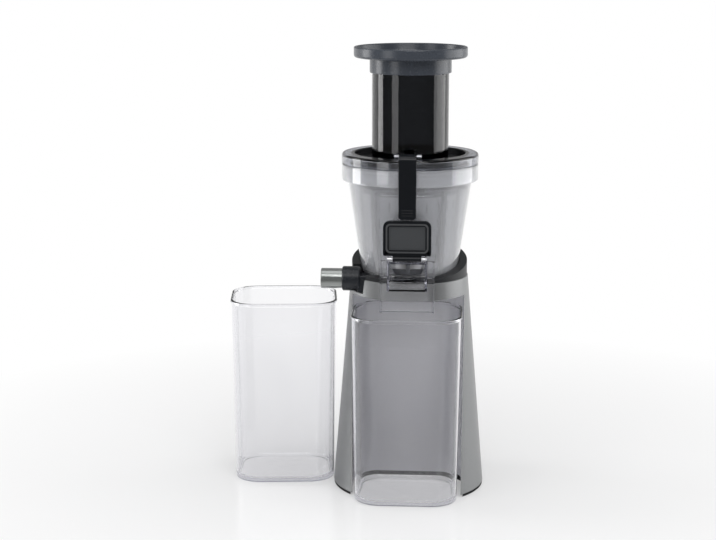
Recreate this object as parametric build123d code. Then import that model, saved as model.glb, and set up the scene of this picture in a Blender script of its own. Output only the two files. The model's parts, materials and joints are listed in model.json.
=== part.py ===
from build123d import *
import math
import os

# Cold press juicer. Millimetres, +Z up, the front faces -Y.
# The origin is on the counter, on the upright axis of the bowl and the pressing screw.
# Heights run from the counter upwards: each piece stands on the one below it.

# ---------------------------------------------------------------- clearances
SEAT = 0.05                 # between mouldings that are fixed to each other
LOOSE = 0.2                 # between pieces that lift off each other
FREE = 0.4                  # round a piece that slides out sideways or upwards
RUN = 0.05                  # radial, for a shaft in its bearing
SOFT = 0.3                  # between a silicone ring and the piece that it seals
CUT = 60.0                  # length of a cutting body that only has to pass right through

# ---------------------------------------------------------------- jugs
JUG_FOOT = (96.0, 81.0)
JUG_RIM = (101.0, 86.5)
JUG_FOOT_R = 21.0
JUG_RIM_R = 24.5
JUG_H = 178.0
JUG_WALL = 2.0
JUG_FLOOR = 3.0
JUG_LIP_H = 2.6
JUG_LIP_W = 0.9
JUG_FOOT_EDGE = 2.5
JUG_FOOT_DRAW = 1.5

# ---------------------------------------------------------------- drive
GEAR_MODULE = 1.25
PRESSURE_ANGLE = 20.0
GEAR_TEETH = 34
PINION_TEETH = 16
GEAR_H = 7.0
GEAR_BACKLASH = 0.30
GEAR_ADDENDUM = 0.88        # in modules
GEAR_DEDENDUM = 1.25        # in modules
GEAR_TIP_GAP = 0.8
GEAR_RIM_W = 5.0
GEAR_HUB_W = 3.0
GEAR_WEB_D = 1.5
GEAR_R = GEAR_MODULE * GEAR_TEETH / 2
PINION_R = GEAR_MODULE * PINION_TEETH / 2
DRIVE_Y = GEAR_R + PINION_R

SHAFT_R = 6.0
SHAFT_PILOT_R = 3.0
SHAFT_POINT_L = 8.0
SHAFT_POINT_R = 4.0
HEX_ACROSS = 10.0
HEX_L = 27.0
HEX_GAP = 0.1
BEARING_R = 11.0
BEARING_H = 3.4
WASHER_R = 8.0
WASHER_T = 1.0
SEAL_LIP_OUT = 3.5
SEAL_LIP_H = 2.2
SEAL_LIP_W = 1.2

PINION_SHAFT_R = 4.0
RETAINER_OUT = 1.5
RETAINER_T = 0.8
GEARHEAD_R = 20.0
GEARHEAD_H = 52.0
GEARHEAD_SEAMS = (17.7, 34.8)
GEARHEAD_SEAM_W = 1.2
GEARHEAD_SEAM_D = 0.6
MOTOR_R = 18.0
MOTOR_H = 74.0
MOTOR_WINDOW_W = 10.8
MOTOR_WINDOW_H = 8.0
MOTOR_WINDOW_UP = 14.0
MOTOR_WINDOW_D = 3.0
MOTOR_CAP_H = 9.0
MOTOR_CAP_IN = 1.5
MOTOR_BOSS_R = 5.5
MOTOR_BOSS_H = 3.0
TERMINAL_X = 10.2
TERMINAL_W = 5.0
TERMINAL_T = 1.0
TERMINAL_H = 6.0

CASE_WALL = 1.8
CASE_FLOOR = 1.8
CASE_EAR_R = 3.6
CASE_EAR_BITE = 1.6
CASE_EAR_TURN = 24.0

# ---------------------------------------------------------------- base housing
NICHE_FOOT_GAP = 3.2        # beside the foot of the juice jug
NICHE_RIM_GAP = 1.2         # beside its rim
NICHE_REAR_GAP = 4.35       # behind its rim
NICHE_HEAD = 12.0           # above its rim
NICHE_CORNER_R = 20.0
NICHE_WALL = 2.0
MOTOR_GAP = 1.25            # between the niche's rear wall and the gearhead
NICHE_HALF_FOOT = JUG_FOOT[0] / 2 + NICHE_FOOT_GAP
NICHE_HALF_TOP = JUG_RIM[0] / 2 + JUG_LIP_W + NICHE_RIM_GAP
NICHE_BACK_Y = DRIVE_Y - GEARHEAD_R - MOTOR_GAP - NICHE_WALL
NICHE_TOP_Z = JUG_H + NICHE_HEAD
JUICE_JUG_X = -0.5
JUICE_JUG_Y = NICHE_BACK_Y - NICHE_REAR_GAP - JUG_RIM[1] / 2 - JUG_LIP_W

BASE_CHEEK = 19.0           # from the niche's wall to the housing's widest reach
BASE_FOOT_R = NICHE_HALF_FOOT + NICHE_WALL + BASE_CHEEK
BASE_DRAW = 16.8            # how much narrower the housing is at its top
BASE_TOP_R = BASE_FOOT_R - BASE_DRAW
GEAR_BAY_H = 16.0
BASE_TOP_Z = NICHE_TOP_Z + GEAR_BAY_H
BASE_SKIN_Z = 2.5
BASE_WALL = 2.4
BASE_EDGE = 0.6
DECK_T = 2.4
DECK_LEDGE_W = 2.4
DECK_LEDGE_T = 2.4
FOOT_INSET = 3.0
FOOT_H = 4.0
FOOT_W = 9.0
FLOOR_T = 2.5

POST_R = 3.6
POST_H = 24.0
POST_ANGLES = (-22.0, 38.0, 142.0, 202.0)
POST_FROM_WALL = 2.6
SCREW_R = 1.4
SCREW_HEAD_R = 2.8
SCREW_HEAD_H = 1.8
SCREW_L = 14.0
DECK_SCREW_L = 8.0
SCREW_DRIVE_R = 1.0
SCREW_DRIVE_D = 0.9

VENT_COUNT = 9
VENT_PITCH = 6.0
VENT_W = 2.6
VENT_L = 22.0
VENT_Y = 40.0

SADDLE_H = 9.0
SADDLE_HALF_W = 15.0
SADDLE_UP = (18.0, 16.0)    # over the lower ends of the motor and the gearhead
SADDLE_WRAP = 0.5           # share of the motor's radius that a saddle reaches round

# ---------------------------------------------------------------- electrics
BOARD_SIZE = (56.0, 30.0, 1.6)
BOARD_Y = 38.0
BOARD_STAND = 7.0
BOARD_POST_R = 2.5
BOARD_POST_IN = 5.0
SINK_X = -22.0
SINK_W = 14.0
SINK_D = 18.0
SINK_H = 12.0
SINK_FOOT = 3.0
SINK_FINS = 4
SINK_FIN_T = 2.0
CAPACITOR_R = 5.0
CAPACITOR_H = 14.0
CAPACITOR_AT = (4.0, 4.0)
CHOKE_R = 6.0
CHOKE_BORE_R = 2.5
CHOKE_H = 7.0
CHOKE_AT = (18.0, -4.0)
CONNECTOR_SIZE = (8.0, 6.0, 8.0)
CONNECTOR_AT = (4.0, -9.0)
REED_SIZE = (14.0, 6.0, 3.0)
MAGNET_R = 3.2
MAGNET_H = 2.2
MAGNET_AT = 37.5
MAGNET_ANGLE = 38.0

SWITCH_Z = 40.0
SWITCH_W = 26.0
SWITCH_H = 19.0
SWITCH_RIM = 3.0
SWITCH_DEPTH = 9.0
SWITCH_FACE_T = 1.5
SWITCH_FACE_OUT = 0.9
SWITCH_WALL = 1.2
ROCKER_PIN_R = 1.5
ROCKER_PIN_IN = 1.0
ROCKER_BACK = 2.6
ROCKER_CROWN = 2.6
ROCKER_END = 3.8
ROCKER_TAPER = 2.2
ROCKER_EDGE = 0.7
GLAND_Z = 16.0
GLAND_R = 7.0
GLAND_BORE_R = 3.8
GLAND_FLANGE_T = 1.6
GLAND_FLANGE_W = 2.0
GLAND_L = 14.0
GLAND_OUT = 2.8

# ---------------------------------------------------------------- deck collar
COLLAR_INSET = 0.8
COLLAR_R = BASE_TOP_R - COLLAR_INSET
COLLAR_FRONT_Z = BASE_TOP_Z + 1.0
COLLAR_REAR_Z = BASE_TOP_Z + 26.0
COLLAR_KEY_W = 7.0
COLLAR_KEY_D = 2.4
COLLAR_GAP = 0.6
KEY_ANGLES = (30.0, 150.0, 270.0)
FRONT_KEY = 270.0

# ---------------------------------------------------------------- bowl
BOWL_LIFT = 3.0             # of the bowl's foot over the deck
BOWL_CONE_H = 86.0
BOWL_SHOULDER_H = 17.0
BOWL_FOOT_Z = BASE_TOP_Z + BOWL_LIFT
BOWL_SHOULDER_Z = BOWL_FOOT_Z + BOWL_CONE_H
BOWL_TOP_Z = BOWL_SHOULDER_Z + BOWL_SHOULDER_H
BOWL_INSET = 9.3            # of the bowl's foot from the collar's outside
BOWL_FOOT_R = COLLAR_R - BOWL_INSET
BOWL_FLARE = 12.7
BOWL_SHOULDER_R = BOWL_FOOT_R + BOWL_FLARE
BOWL_WALL = 2.2
BOWL_FLOOR = 3.0
BOWL_COLLAR_OUT = 6.2
BOWL_COLLAR_R = BOWL_SHOULDER_R + BOWL_COLLAR_OUT
BOWL_COLLAR_WALL = 2.2
BOWL_COLLAR_H = 15.5
BOWL_EDGE = 0.6
BOWL_MOUTH_R = BOWL_SHOULDER_R - BOWL_WALL
BOWL_FLOOR_TOP_Z = BOWL_FOOT_Z + BOWL_FLOOR
KEY_TOP_Z = BOWL_FOOT_Z + 11.0
FRONT_KEY_TOP_Z = BOWL_FOOT_Z + 2.0
BOSS_GAP = 2.0
BOSS_WALL = 2.5
BOSS_H = 17.0
BOSS_BORE_R = SHAFT_R + BOSS_GAP
BOSS_R = BOSS_BORE_R + BOSS_WALL
BOSS_TOP_Z = BOWL_FOOT_Z + BOSS_H
BOWL_SEAL_Z = BOWL_FLOOR_TOP_Z + 4.0
BOWL_SEAL_H = 4.0
BOWL_SEAL_T = 1.2
BOWL_SEAL_LIP = 1.0
PANEL_W = 57.0
PANEL_TOP_Z = BOWL_SHOULDER_Z - 6.0
PANEL_PROUD = 1.6
PANEL_CORNER_R = 7.0
GUIDE_RIB_W = 1.6
GUIDE_RIB_D = 2.6
GUIDE_RIB_H = 12.0
GUIDE_RIB_DROP = 1.0

# ---------------------------------------------------------------- spout and drip-stop cap
SPOUT_IN_W = 33.0
SPOUT_WALL = 2.0
SPOUT_H = 20.0
SPOUT_ROOF_Z = BOWL_FOOT_Z + SPOUT_H
SPOUT_LEVEL_Z = BOWL_FOOT_Z + 0.6
SPOUT_TIP_Z = BOWL_FOOT_Z - 7.5
SPOUT_BEND_Y = -BOWL_FOOT_R - 11.7
SPOUT_TIP_Y = -BOWL_FOOT_R - 21.4
HINGE_OUT = 0.3             # of the hinge's axis in front of the spout's tip
HINGE_UP = 3.0
HINGE_Y = SPOUT_TIP_Y - HINGE_OUT
HINGE_Z = SPOUT_ROOF_Z + HINGE_UP
HINGE_PIN_R = 1.1
HINGE_EYE_R = 2.5
PIN_END = 1.0
EAR_X = 15.5
EAR_W = 4.0
EAR_FOOT_BACK = 5.0
EAR_FOOT_FRONT = 0.8
GUARD_W = 50.0
GUARD_WALL = 2.0
GUARD_OVER_JUG = 3.0
GUARD_BOTTOM_Z = JUG_H + GUARD_OVER_JUG
GUARD_FRONT_Y = SPOUT_TIP_Y + 0.7
GUARD_BACK_Y = SPOUT_BEND_Y - 0.6
GUARD_LEDGE_Z = BOWL_FOOT_Z + 5.0
CAP_W = 44.0
CAP_H = 32.2
CAP_T = 4.5
CAP_BORDER = 5.0
CAP_DISH = 1.4
CAP_CORNER_R = 6.0
CAP_FREE = 2.8
CAP_SEAL_W = 1.6
CAP_SEAL_T = 1.0
CAP_SEAL_PROUD = 0.15
CAP_WEB_IN = 1.0

# ---------------------------------------------------------------- pulp outlet
PORT_R = 4.5
PORT_IN = 11.5              # of the port's centre from the bowl's foot radius
PORT_ANGLE = 225.0
PORT_AT = BOWL_FOOT_R - PORT_IN
PORT_X = PORT_AT * math.cos(math.radians(PORT_ANGLE))
PORT_Y = PORT_AT * math.sin(math.radians(PORT_ANGLE))
CHUTE_Y = PORT_Y - 1.6
CHUTE_END_R = 9.0
CHUTE_DROP = 15.6
CHUTE_BOTTOM_Z = BOWL_FOOT_Z - CHUTE_DROP
CHUTE_WALL = 2.0
CHUTE_START = 1.5
CHUTE_SHOULDER = 1.0
CHUTE_LAP = 2.0
PULP_TUBE_R = 9.5
PULP_TUBE_WALL = 2.0
PULP_TUBE_Z = BOWL_FOOT_Z - 4.0
PULP_SOCKET_OUT = 6.6       # beyond the housing's top edge
PULP_SOCKET_DEPTH = 8.0
PULP_SOCKET_WALL = 2.0
PULP_TUBE_OUT = 20.0        # beyond the socket
PULP_SOCKET_X = -BASE_TOP_R - PULP_SOCKET_OUT
PULP_TUBE_TIP_X = PULP_SOCKET_X - PULP_TUBE_OUT
SOCKET_R = PULP_TUBE_R + PULP_SOCKET_WALL
NOTCH_GAP = 0.7
PULP_JUG_GAP = 2.4
PULP_JUG_X = -BASE_FOOT_R - PULP_JUG_GAP - JUG_FOOT[0] / 2
PULP_JUG_Y = 23.0
PULP_JUG_TURN = 5.5

# ---------------------------------------------------------------- strainer and auger
SIEVE_FOOT_GAP = 2.1        # round the strainer's foot, inside the bowl
SIEVE_TOP_GAP = 9.8         # round its top
SIEVE_DROP = 5.0            # of its top below the bowl's shoulder
SIEVE_FOOT_R = BOWL_FOOT_R - BOWL_WALL - SIEVE_FOOT_GAP
SIEVE_TOP_R = BOWL_SHOULDER_R - BOWL_WALL - SIEVE_TOP_GAP
SIEVE_FOOT_Z = BOWL_FLOOR_TOP_Z + LOOSE
SIEVE_TOP_Z = BOWL_SHOULDER_Z - SIEVE_DROP
SIEVE_WALL = 1.6
SIEVE_RING_H = 5.0
SIEVE_RIBS = 8
SIEVE_RIB_W = 4.0
SIEVE_RIB_D = 1.6
SIEVE_TAB_W = 12.0
SIEVE_TAB_T = 2.4
SIEVE_TABS = 3
MESH_T = 0.6
SLOT_COLUMNS = 24
SLOT_ROWS = 4
SLOT_W = 1.6
SLOT_H = 9.0
SLOT_PITCH = 16.0

AUGER_LIFT = 6.0            # of the screw's foot over the bowl's foot
AUGER_NOSE_UP = 10.0        # of its nose over the strainer's top
AUGER_FOOT_Z = BOWL_FOOT_Z + AUGER_LIFT
AUGER_TOP_Z = SIEVE_TOP_Z + AUGER_NOSE_UP
AUGER_RUN = 1.2
AUGER_FLIGHT_T = 4.5
AUGER_TURN = 400.0
AUGER_CORE_R = 11.0
AUGER_BELL = ((30.0, 0.0), (29.0, 11.0), (22.0, 31.0), (15.5, 57.0))
AUGER_TIP_R = 13.0
AUGER_NOSE_R = 24.0
AUGER_SHOULDER_DROP = 8.0
AUGER_DISC_H = 3.0
AUGER_DISC_DRAW = 2.0
AUGER_RECESS_GAP = 2.2
AUGER_RECESS_R = BOSS_R + AUGER_RECESS_GAP
AUGER_SOCKET_WALL = 2.0
AUGER_PIN_R = 5.0
AUGER_PIN_IN = 5.4          # of its journal in the spider's bush

# ---------------------------------------------------------------- lid, feed tube, tray
LID_H = 9.5
LID_TOP_Z = BOWL_TOP_Z + LID_H
LID_WALL = 2.4
LID_EDGE = 1.2
LID_PLUG_GAP = 1.2
LID_PLUG_WALL = 2.6
LID_PLUG_DEPTH = 10.0
LID_PLUG_R = BOWL_MOUTH_R - LID_PLUG_GAP
LID_PLUG_BOTTOM_Z = BOWL_TOP_Z - LID_PLUG_DEPTH
LID_LEDGE_Z = BOWL_TOP_Z + 0.6
LID_LEDGE_T = 2.0
LID_LEDGE_W = 4.0
LID_SEAL_Z = BOWL_TOP_Z - 6.0
LID_SEAL_H = 2.4
LID_SEAL_GROOVE = 1.0
LID_SEAL_CREST = 0.6
TUBE_R = 35.9
TUBE_WALL = 2.6
TUBE_H = 96.4
TUBE_FLANGE_T = 2.6
TUBE_EDGE = 0.6
TUBE_BORE_R = TUBE_R - TUBE_WALL
TUBE_TOP_Z = LID_LEDGE_Z + TUBE_H
FLANGE_Z = LID_LEDGE_Z
AUGER_PIN_TOP_Z = FLANGE_Z + AUGER_PIN_IN
SPIDER_LEGS = 3
SPIDER_W = 3.6
SPIDER_H = 6.0
BUSH_WALL = 1.6
BUSH_H = 7.0
BUSH_R = AUGER_PIN_R + RUN + BUSH_WALL
HUB_WALL = 2.4
HUB_CAP_H = 5.0
TRAY_OUT = 17.0             # of the tray's rim beyond the feed tube
TRAY_RISE = 11.0            # of its rim over the tube
TRAY_NECK_L = 13.0
TRAY_R = TUBE_R + TRAY_OUT
TRAY_TOP_Z = TUBE_TOP_Z + TRAY_RISE
TRAY_NECK_BOTTOM_Z = TUBE_TOP_Z - TRAY_NECK_L
TRAY_RIM_T = 2.6
TRAY_FLOOR_T = 2.2
TRAY_NECK_WALL = 2.0
TRAY_SKIRT_H = 10.0
TRAY_DRAW = 2.0
TRAY_EDGE = 1.0
TRAY_LIP = 0.8
TRAY_DISH_DRAW = 1.5

# ---------------------------------------------------------------- lock arm
LOCK_IN = 9.6               # of the hinge's axis from the bowl collar's outside
LOCK_UP = 2.7               # of the hinge's axis over the lid
LOCK_Y = -BOWL_COLLAR_R + LOCK_IN
LOCK_Z = LID_TOP_Z + LOCK_UP
LOCK_EYE_R = 2.8
LOCK_EYE_DRAW = 0.4
LOCK_PIN_R = 1.2
LOCK_W = 16.0
LOCK_T = 2.8
LOCK_GAP = 0.8
LOCK_CAP_GAP = 1.2
LOCK_FRONT_Y = -BOWL_COLLAR_R - LOCK_GAP - LOCK_T
LOCK_BOTTOM_Z = HINGE_Z + CAP_FREE + CAP_H + LOCK_CAP_GAP
LOCK_LUG_W = 4.0
LOCK_TIP_R = 3.0
LOCK_KNEE = 4.0
LOCK_KNEE_CUT = 1.2
LOCK_CROOK = 1.5

# ---------------------------------------------------------------- worked-out sizes
FLOOR_Z = FOOT_H
FLOOR_TOP_Z = FLOOR_Z + FLOOR_T
DECK_BOTTOM_Z = BASE_TOP_Z - DECK_T
CASE_BOTTOM_Z = NICHE_TOP_Z + NICHE_WALL + SEAT
GEAR_BOTTOM_Z = CASE_BOTTOM_Z + CASE_FLOOR + WASHER_T
GEARHEAD_TOP_Z = CASE_BOTTOM_Z
GEARHEAD_BOTTOM_Z = GEARHEAD_TOP_Z - GEARHEAD_H
MOTOR_BOTTOM_Z = GEARHEAD_BOTTOM_Z - MOTOR_H
SHAFT_SHOULDER_Z = BOWL_FOOT_Z
SHAFT_TOP_Z = SHAFT_SHOULDER_Z + HEX_L
BOWL_SLOPE = BOWL_FLARE / BOWL_CONE_H
SIEVE_SLOPE = (SIEVE_TOP_R - SIEVE_FOOT_R) / (SIEVE_TOP_Z - SIEVE_FOOT_Z)
SPOUT_OUT_W = SPOUT_IN_W + 2 * SPOUT_WALL


# ---------------------------------------------------------------- plain shapes
def upright(radius, bottom, top, x=0.0, y=0.0):
    """Upright cylinder between two heights."""
    shape = Cylinder(radius, top - bottom, align=(Align.CENTER, Align.CENTER, Align.MIN))
    return Pos(x, y, bottom) * shape


def ring(outer, inner, bottom, top, x=0.0, y=0.0):
    """Upright ring between two heights."""
    return upright(outer, bottom, top, x, y) - upright(inner, bottom, top, x, y)


def frustum(low_r, low_z, high_r, high_z):
    """Upright truncated cone on the bowl axis."""
    shape = Cone(low_r, high_r, high_z - low_z, align=(Align.CENTER, Align.CENTER, Align.MIN))
    return Pos(0, 0, low_z) * shape


def block(x0, x1, y0, y1, z0, z1):
    """Box between two corners."""
    return Pos((x0 + x1) / 2, (y0 + y1) / 2, (z0 + z1) / 2) * Box(x1 - x0, y1 - y0, z1 - z0)


def crosswise(radius, half_length, y, z, x=0.0):
    """Cylinder that lies along X, centred on x."""
    return Pos(x, y, z) * Rot(0, 90, 0) * Cylinder(radius, 2 * half_length)


def turned(points):
    """Solid of revolution about Z of a closed outline of (radius, height) points."""
    outline = Plane.XZ * Polygon(*points, align=None)
    return revolve(outline, Axis.Z)


def side_plate(points, x0, x1):
    """Plate between x0 and x1 whose side view is a closed outline of (y, z) points."""
    outline = Plane.YZ * Polygon(*points, align=None)
    return Pos(x0, 0, 0) * extrude(outline, amount=x1 - x0, dir=(1, 0, 0))


def polar(radius, degrees):
    """Point at a radius and a bearing about the bowl axis."""
    angle = math.radians(degrees)
    return radius * math.cos(angle), radius * math.sin(angle)


# ---------------------------------------------------------------- taper laws
def base_r(z):
    """Outer radius of the base housing at a height."""
    share = (z - BASE_SKIN_Z) / (BASE_TOP_Z - BASE_SKIN_Z)
    return BASE_FOOT_R + (BASE_TOP_R - BASE_FOOT_R) * share


def bowl_r(z):
    """Outer radius of the bowl's tapered wall at a height."""
    return BOWL_FOOT_R + BOWL_SLOPE * (z - BOWL_FOOT_Z)


def sieve_r(z):
    """Outer radius of the strainer's wall at a height."""
    return SIEVE_FOOT_R + SIEVE_SLOPE * (z - SIEVE_FOOT_Z)


def cone_slice(radius_at, bottom, top, change=0.0):
    """Truncated cone that follows a taper law, grown or shrunk by a constant."""
    return frustum(radius_at(bottom) + change, bottom, radius_at(top) + change, top)


# ---------------------------------------------------------------- base
def niche_space(grow, top):
    """Tapered room for the juice jug, open to the front, with rounded rear corners."""
    front = -2 * BASE_FOOT_R
    back = NICHE_BACK_Y + grow

    def section(half, height):
        middle = (front + back) / 2
        outline = RectangleRounded(2 * (half + grow), back - front, NICHE_CORNER_R + grow)
        return Pos(0, middle, height) * outline

    return loft([section(NICHE_HALF_FOOT, 0), section(NICHE_HALF_TOP, top)], ruled=True)


def foot_sketch(radius):
    """C-shaped plan of the housing at its foot."""
    depth = 2 * radius
    niche = Pos(0, NICHE_BACK_Y - depth / 2) * RectangleRounded(
        2 * (NICHE_HALF_FOOT + NICHE_WALL), depth, NICHE_CORNER_R
    )
    return Circle(radius) - niche


def post_places():
    """Centres of the four screw posts, beside the housing's wall."""
    radius = base_r(POST_H) - BASE_WALL - POST_FROM_WALL
    return [polar(radius, angle) for angle in POST_ANGLES]


def chute_notch(grow):
    """Room for the pulp elbow, open upwards so that the bowl lifts out."""
    low = CHUTE_BOTTOM_Z - grow
    high = COLLAR_REAR_Z
    inner_x, inner_y = polar(PORT_AT + CHUTE_WALL, PORT_ANGLE)
    arm = block(-BASE_FOOT_R, inner_x, CHUTE_Y - SOCKET_R - grow, CHUTE_Y + SOCKET_R + grow, low, high)
    end = upright(SOCKET_R + grow, low, high, inner_x, CHUTE_Y)
    return arm + end - upright(case_reach(), low, high)


def case_reach():
    """Outer radius of the gear case round the output gear."""
    return GEAR_R + GEAR_MODULE * GEAR_ADDENDUM + GEAR_TIP_GAP + CASE_WALL


def make_base_shell():
    """Tapered outer housing with the front niche, the switch and gland openings and screw posts."""
    edge_z = BASE_TOP_Z - BASE_EDGE
    skin = cone_slice(base_r, BASE_SKIN_Z, edge_z)
    skin += frustum(base_r(edge_z), edge_z, BASE_TOP_R - BASE_EDGE, BASE_TOP_Z)
    ledge_z = DECK_BOTTOM_Z - DECK_LEDGE_T
    hollow = cone_slice(base_r, BASE_SKIN_Z, ledge_z, -BASE_WALL)
    seat = cone_slice(base_r, DECK_BOTTOM_Z, BASE_TOP_Z, -BASE_WALL)
    mouth = cone_slice(base_r, ledge_z, DECK_BOTTOM_Z, -BASE_WALL - DECK_LEDGE_W)
    shell = skin - hollow - seat - mouth
    for x, y in post_places():
        post = upright(POST_R, FLOOR_TOP_Z + SEAT, POST_H, x, y)
        bore = upright(SCREW_R + RUN, FLOOR_TOP_Z, FLOOR_Z + SCREW_L + RUN, x, y)
        shell += (post & cone_slice(base_r, BASE_SKIN_Z, POST_H)) - bore
    rear = base_r(SWITCH_Z)
    half_w, half_h = SWITCH_W / 2 - SWITCH_RIM + SEAT, SWITCH_H / 2 - SWITCH_RIM + SEAT
    opening = Pos(0, rear, SWITCH_Z) * Box(2 * half_w, CUT, 2 * half_h)
    gland = Pos(0, rear, GLAND_Z) * Rot(90, 0, 0) * Cylinder(GLAND_R + SEAT, CUT)
    return shell - niche_space(0, NICHE_TOP_Z) - opening - gland - chute_notch(NOTCH_GAP)


def make_niche_liner():
    """Inner frame: the niche's walls and ceiling, with two saddles behind that hold the motor."""
    room = cone_slice(base_r, FLOOR_TOP_Z + SEAT, NICHE_TOP_Z + NICHE_WALL, -BASE_WALL - SEAT)
    wall = niche_space(NICHE_WALL, NICHE_TOP_Z + NICHE_WALL) & room
    lows = (MOTOR_BOTTOM_Z + SADDLE_UP[0], GEARHEAD_BOTTOM_Z + SADDLE_UP[1])
    for radius, low in zip((MOTOR_R, GEARHEAD_R), lows):
        reach = DRIVE_Y - radius * SADDLE_WRAP
        saddle = block(-SADDLE_HALF_W, SADDLE_HALF_W, NICHE_BACK_Y, reach, low, low + SADDLE_H)
        wall += saddle - upright(radius + SEAT, low, low + SADDLE_H, 0, DRIVE_Y)
    posts = [upright(POST_R + SEAT, 0, POST_H + SEAT, x, y) for x, y in post_places()]
    wall -= niche_space(0, NICHE_TOP_Z)
    for post in posts:
        wall -= post
    return wall


def make_base_plate():
    """Bottom closure with cooling slots, board pillars and screw holes."""
    sketch = foot_sketch(base_r(FLOOR_TOP_Z) - BASE_WALL - SEAT)
    plate = Pos(0, 0, FLOOR_Z) * extrude(sketch, amount=FLOOR_T)
    first = -(VENT_COUNT - 1) / 2 * VENT_PITCH
    for number in range(VENT_COUNT):
        slot = Pos(first + number * VENT_PITCH, VENT_Y) * SlotOverall(VENT_L, VENT_W, rotation=90)
        plate -= extrude(slot, amount=CUT)
    for x, y in board_corners():
        plate += upright(BOARD_POST_R, FLOOR_TOP_Z, FLOOR_TOP_Z + BOARD_STAND, x, y)
    for x, y in post_places():
        plate -= upright(SCREW_R + LOOSE, 0, FLOOR_TOP_Z, x, y)
    return plate


def make_foot_ring():
    """Rubber foot: a C-shaped strip with a hole below each screw."""
    radius = BASE_FOOT_R - FOOT_INSET
    sketch = foot_sketch(radius) - foot_inner(radius - FOOT_W)
    foot = extrude(sketch, amount=FOOT_H)
    for x, y in post_places():
        foot -= upright(SCREW_HEAD_R + FREE, 0, FOOT_H, x, y)
    return foot


def foot_inner(radius):
    """Plan of the room inside the rubber foot."""
    depth = 2 * radius
    band = FOOT_W / 2
    niche = Pos(0, NICHE_BACK_Y + NICHE_WALL + band - depth / 2) * RectangleRounded(
        2 * (NICHE_HALF_FOOT + NICHE_WALL + band), depth, NICHE_CORNER_R
    )
    return Circle(radius) - niche


def screw(x, y, head_z, length, down):
    """Round-headed screw; down is 1 when the head is at the bottom, -1 when it is at the top."""
    ends = sorted((head_z, head_z + down * SCREW_HEAD_H))
    head = upright(SCREW_HEAD_R, ends[0], ends[1], x, y)
    tip = sorted((ends[0 if down < 0 else 1], ends[0 if down < 0 else 1] + down * length))
    drive = upright(SCREW_DRIVE_R, *sorted((head_z, head_z + down * SCREW_DRIVE_D)), x, y)
    return head - drive + upright(SCREW_R, tip[0], tip[1], x, y)


def make_base_screws():
    """Four screws that hold the bottom closure to the posts."""
    head_z = FLOOR_Z - SCREW_HEAD_H
    return [screw(x, y, head_z, SCREW_L, 1) for x, y in post_places()]


# ---------------------------------------------------------------- drive
def gear_outline(teeth, phase):
    """Outline of a spur gear with involute flanks; one tooth is centred on the phase bearing."""
    pitch_r = GEAR_MODULE * teeth / 2
    base_circle = pitch_r * math.cos(math.radians(PRESSURE_ANGLE))
    tip_r = pitch_r + GEAR_ADDENDUM * GEAR_MODULE
    root_r = pitch_r - GEAR_DEDENDUM * GEAR_MODULE

    def involute(radius):
        pressure = math.acos(min(1.0, base_circle / radius))
        return math.tan(pressure) - pressure

    half_pitch_tooth = math.pi / (2 * teeth) - GEAR_BACKLASH / (2 * pitch_r)

    def half_width(radius):
        return half_pitch_tooth + involute(pitch_r) - involute(max(radius, base_circle))

    radii = (root_r, max(root_r, base_circle), pitch_r, tip_r)
    points = []
    for tooth in range(teeth):
        centre = math.radians(phase) + tooth * 2 * math.pi / teeth
        flank = [(radius, centre - half_width(radius)) for radius in radii]
        flank += [(radius, centre + half_width(radius)) for radius in reversed(radii)]
        points += [(radius * math.cos(a), radius * math.sin(a)) for radius, a in flank]
    return Polygon(*points, align=None)


def make_output_gear():
    """Large gear, keyed on the drive shaft."""
    gear = extrude(gear_outline(GEAR_TEETH, 90), amount=GEAR_H)
    web = ring(GEAR_R - GEAR_RIM_W, SHAFT_R + GEAR_HUB_W, GEAR_H - GEAR_WEB_D, GEAR_H)
    return Pos(0, 0, GEAR_BOTTOM_Z) * (gear - web - upright(SHAFT_R + SEAT, 0, GEAR_H))


def make_drive_shaft():
    """Steel shaft: pilot, round journal and a hexagon that drives the screw."""
    pilot = upright(SHAFT_PILOT_R, CASE_BOTTOM_Z + SEAT, GEAR_BOTTOM_Z)
    journal = upright(SHAFT_R, GEAR_BOTTOM_Z, SHAFT_SHOULDER_Z)
    hexagon = RegularPolygon(HEX_ACROSS / 2, 6, major_radius=False)
    top = Pos(0, 0, SHAFT_SHOULDER_Z) * extrude(hexagon, amount=SHAFT_TOP_Z - SHAFT_SHOULDER_Z)
    point_z = SHAFT_TOP_Z - SHAFT_POINT_L
    limit = frustum(SHAFT_R, point_z, SHAFT_POINT_R, SHAFT_TOP_Z)
    limit += upright(SHAFT_R, SHAFT_SHOULDER_Z, point_z)
    return pilot + journal + (top & limit)


def make_pinion():
    """Small gear on the gearhead's shaft, in mesh with the output gear."""
    phase = 270 + 180 / PINION_TEETH
    gear = extrude(gear_outline(PINION_TEETH, phase), amount=GEAR_H)
    return Pos(0, DRIVE_Y, GEAR_BOTTOM_Z) * (gear - upright(PINION_SHAFT_R + SEAT, 0, GEAR_H))


def make_pinion_shaft():
    """Shaft of the gearhead, with its end collar above the pinion."""
    gear_top = GEAR_BOTTOM_Z + GEAR_H
    shaft = upright(PINION_SHAFT_R, GEARHEAD_TOP_Z + SEAT, gear_top, 0, DRIVE_Y)
    return shaft + upright(PINION_SHAFT_R + RETAINER_OUT, gear_top, gear_top + RETAINER_T, 0, DRIVE_Y)


def case_small_reach():
    """Outer radius of the gear case round the pinion."""
    return PINION_R + GEAR_MODULE * GEAR_ADDENDUM + GEAR_TIP_GAP + CASE_WALL


def case_ears():
    """Centres of the gear case's four screw ears: two beside each gear."""
    out = CASE_EAR_R - CASE_EAR_BITE
    places = [polar(case_reach() + out, angle) for angle in (0, 180)]
    for angle in (CASE_EAR_TURN, 180 - CASE_EAR_TURN):
        x, y = polar(case_small_reach() + out, angle)
        places.append((x, DRIVE_Y + y))
    return places


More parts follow.
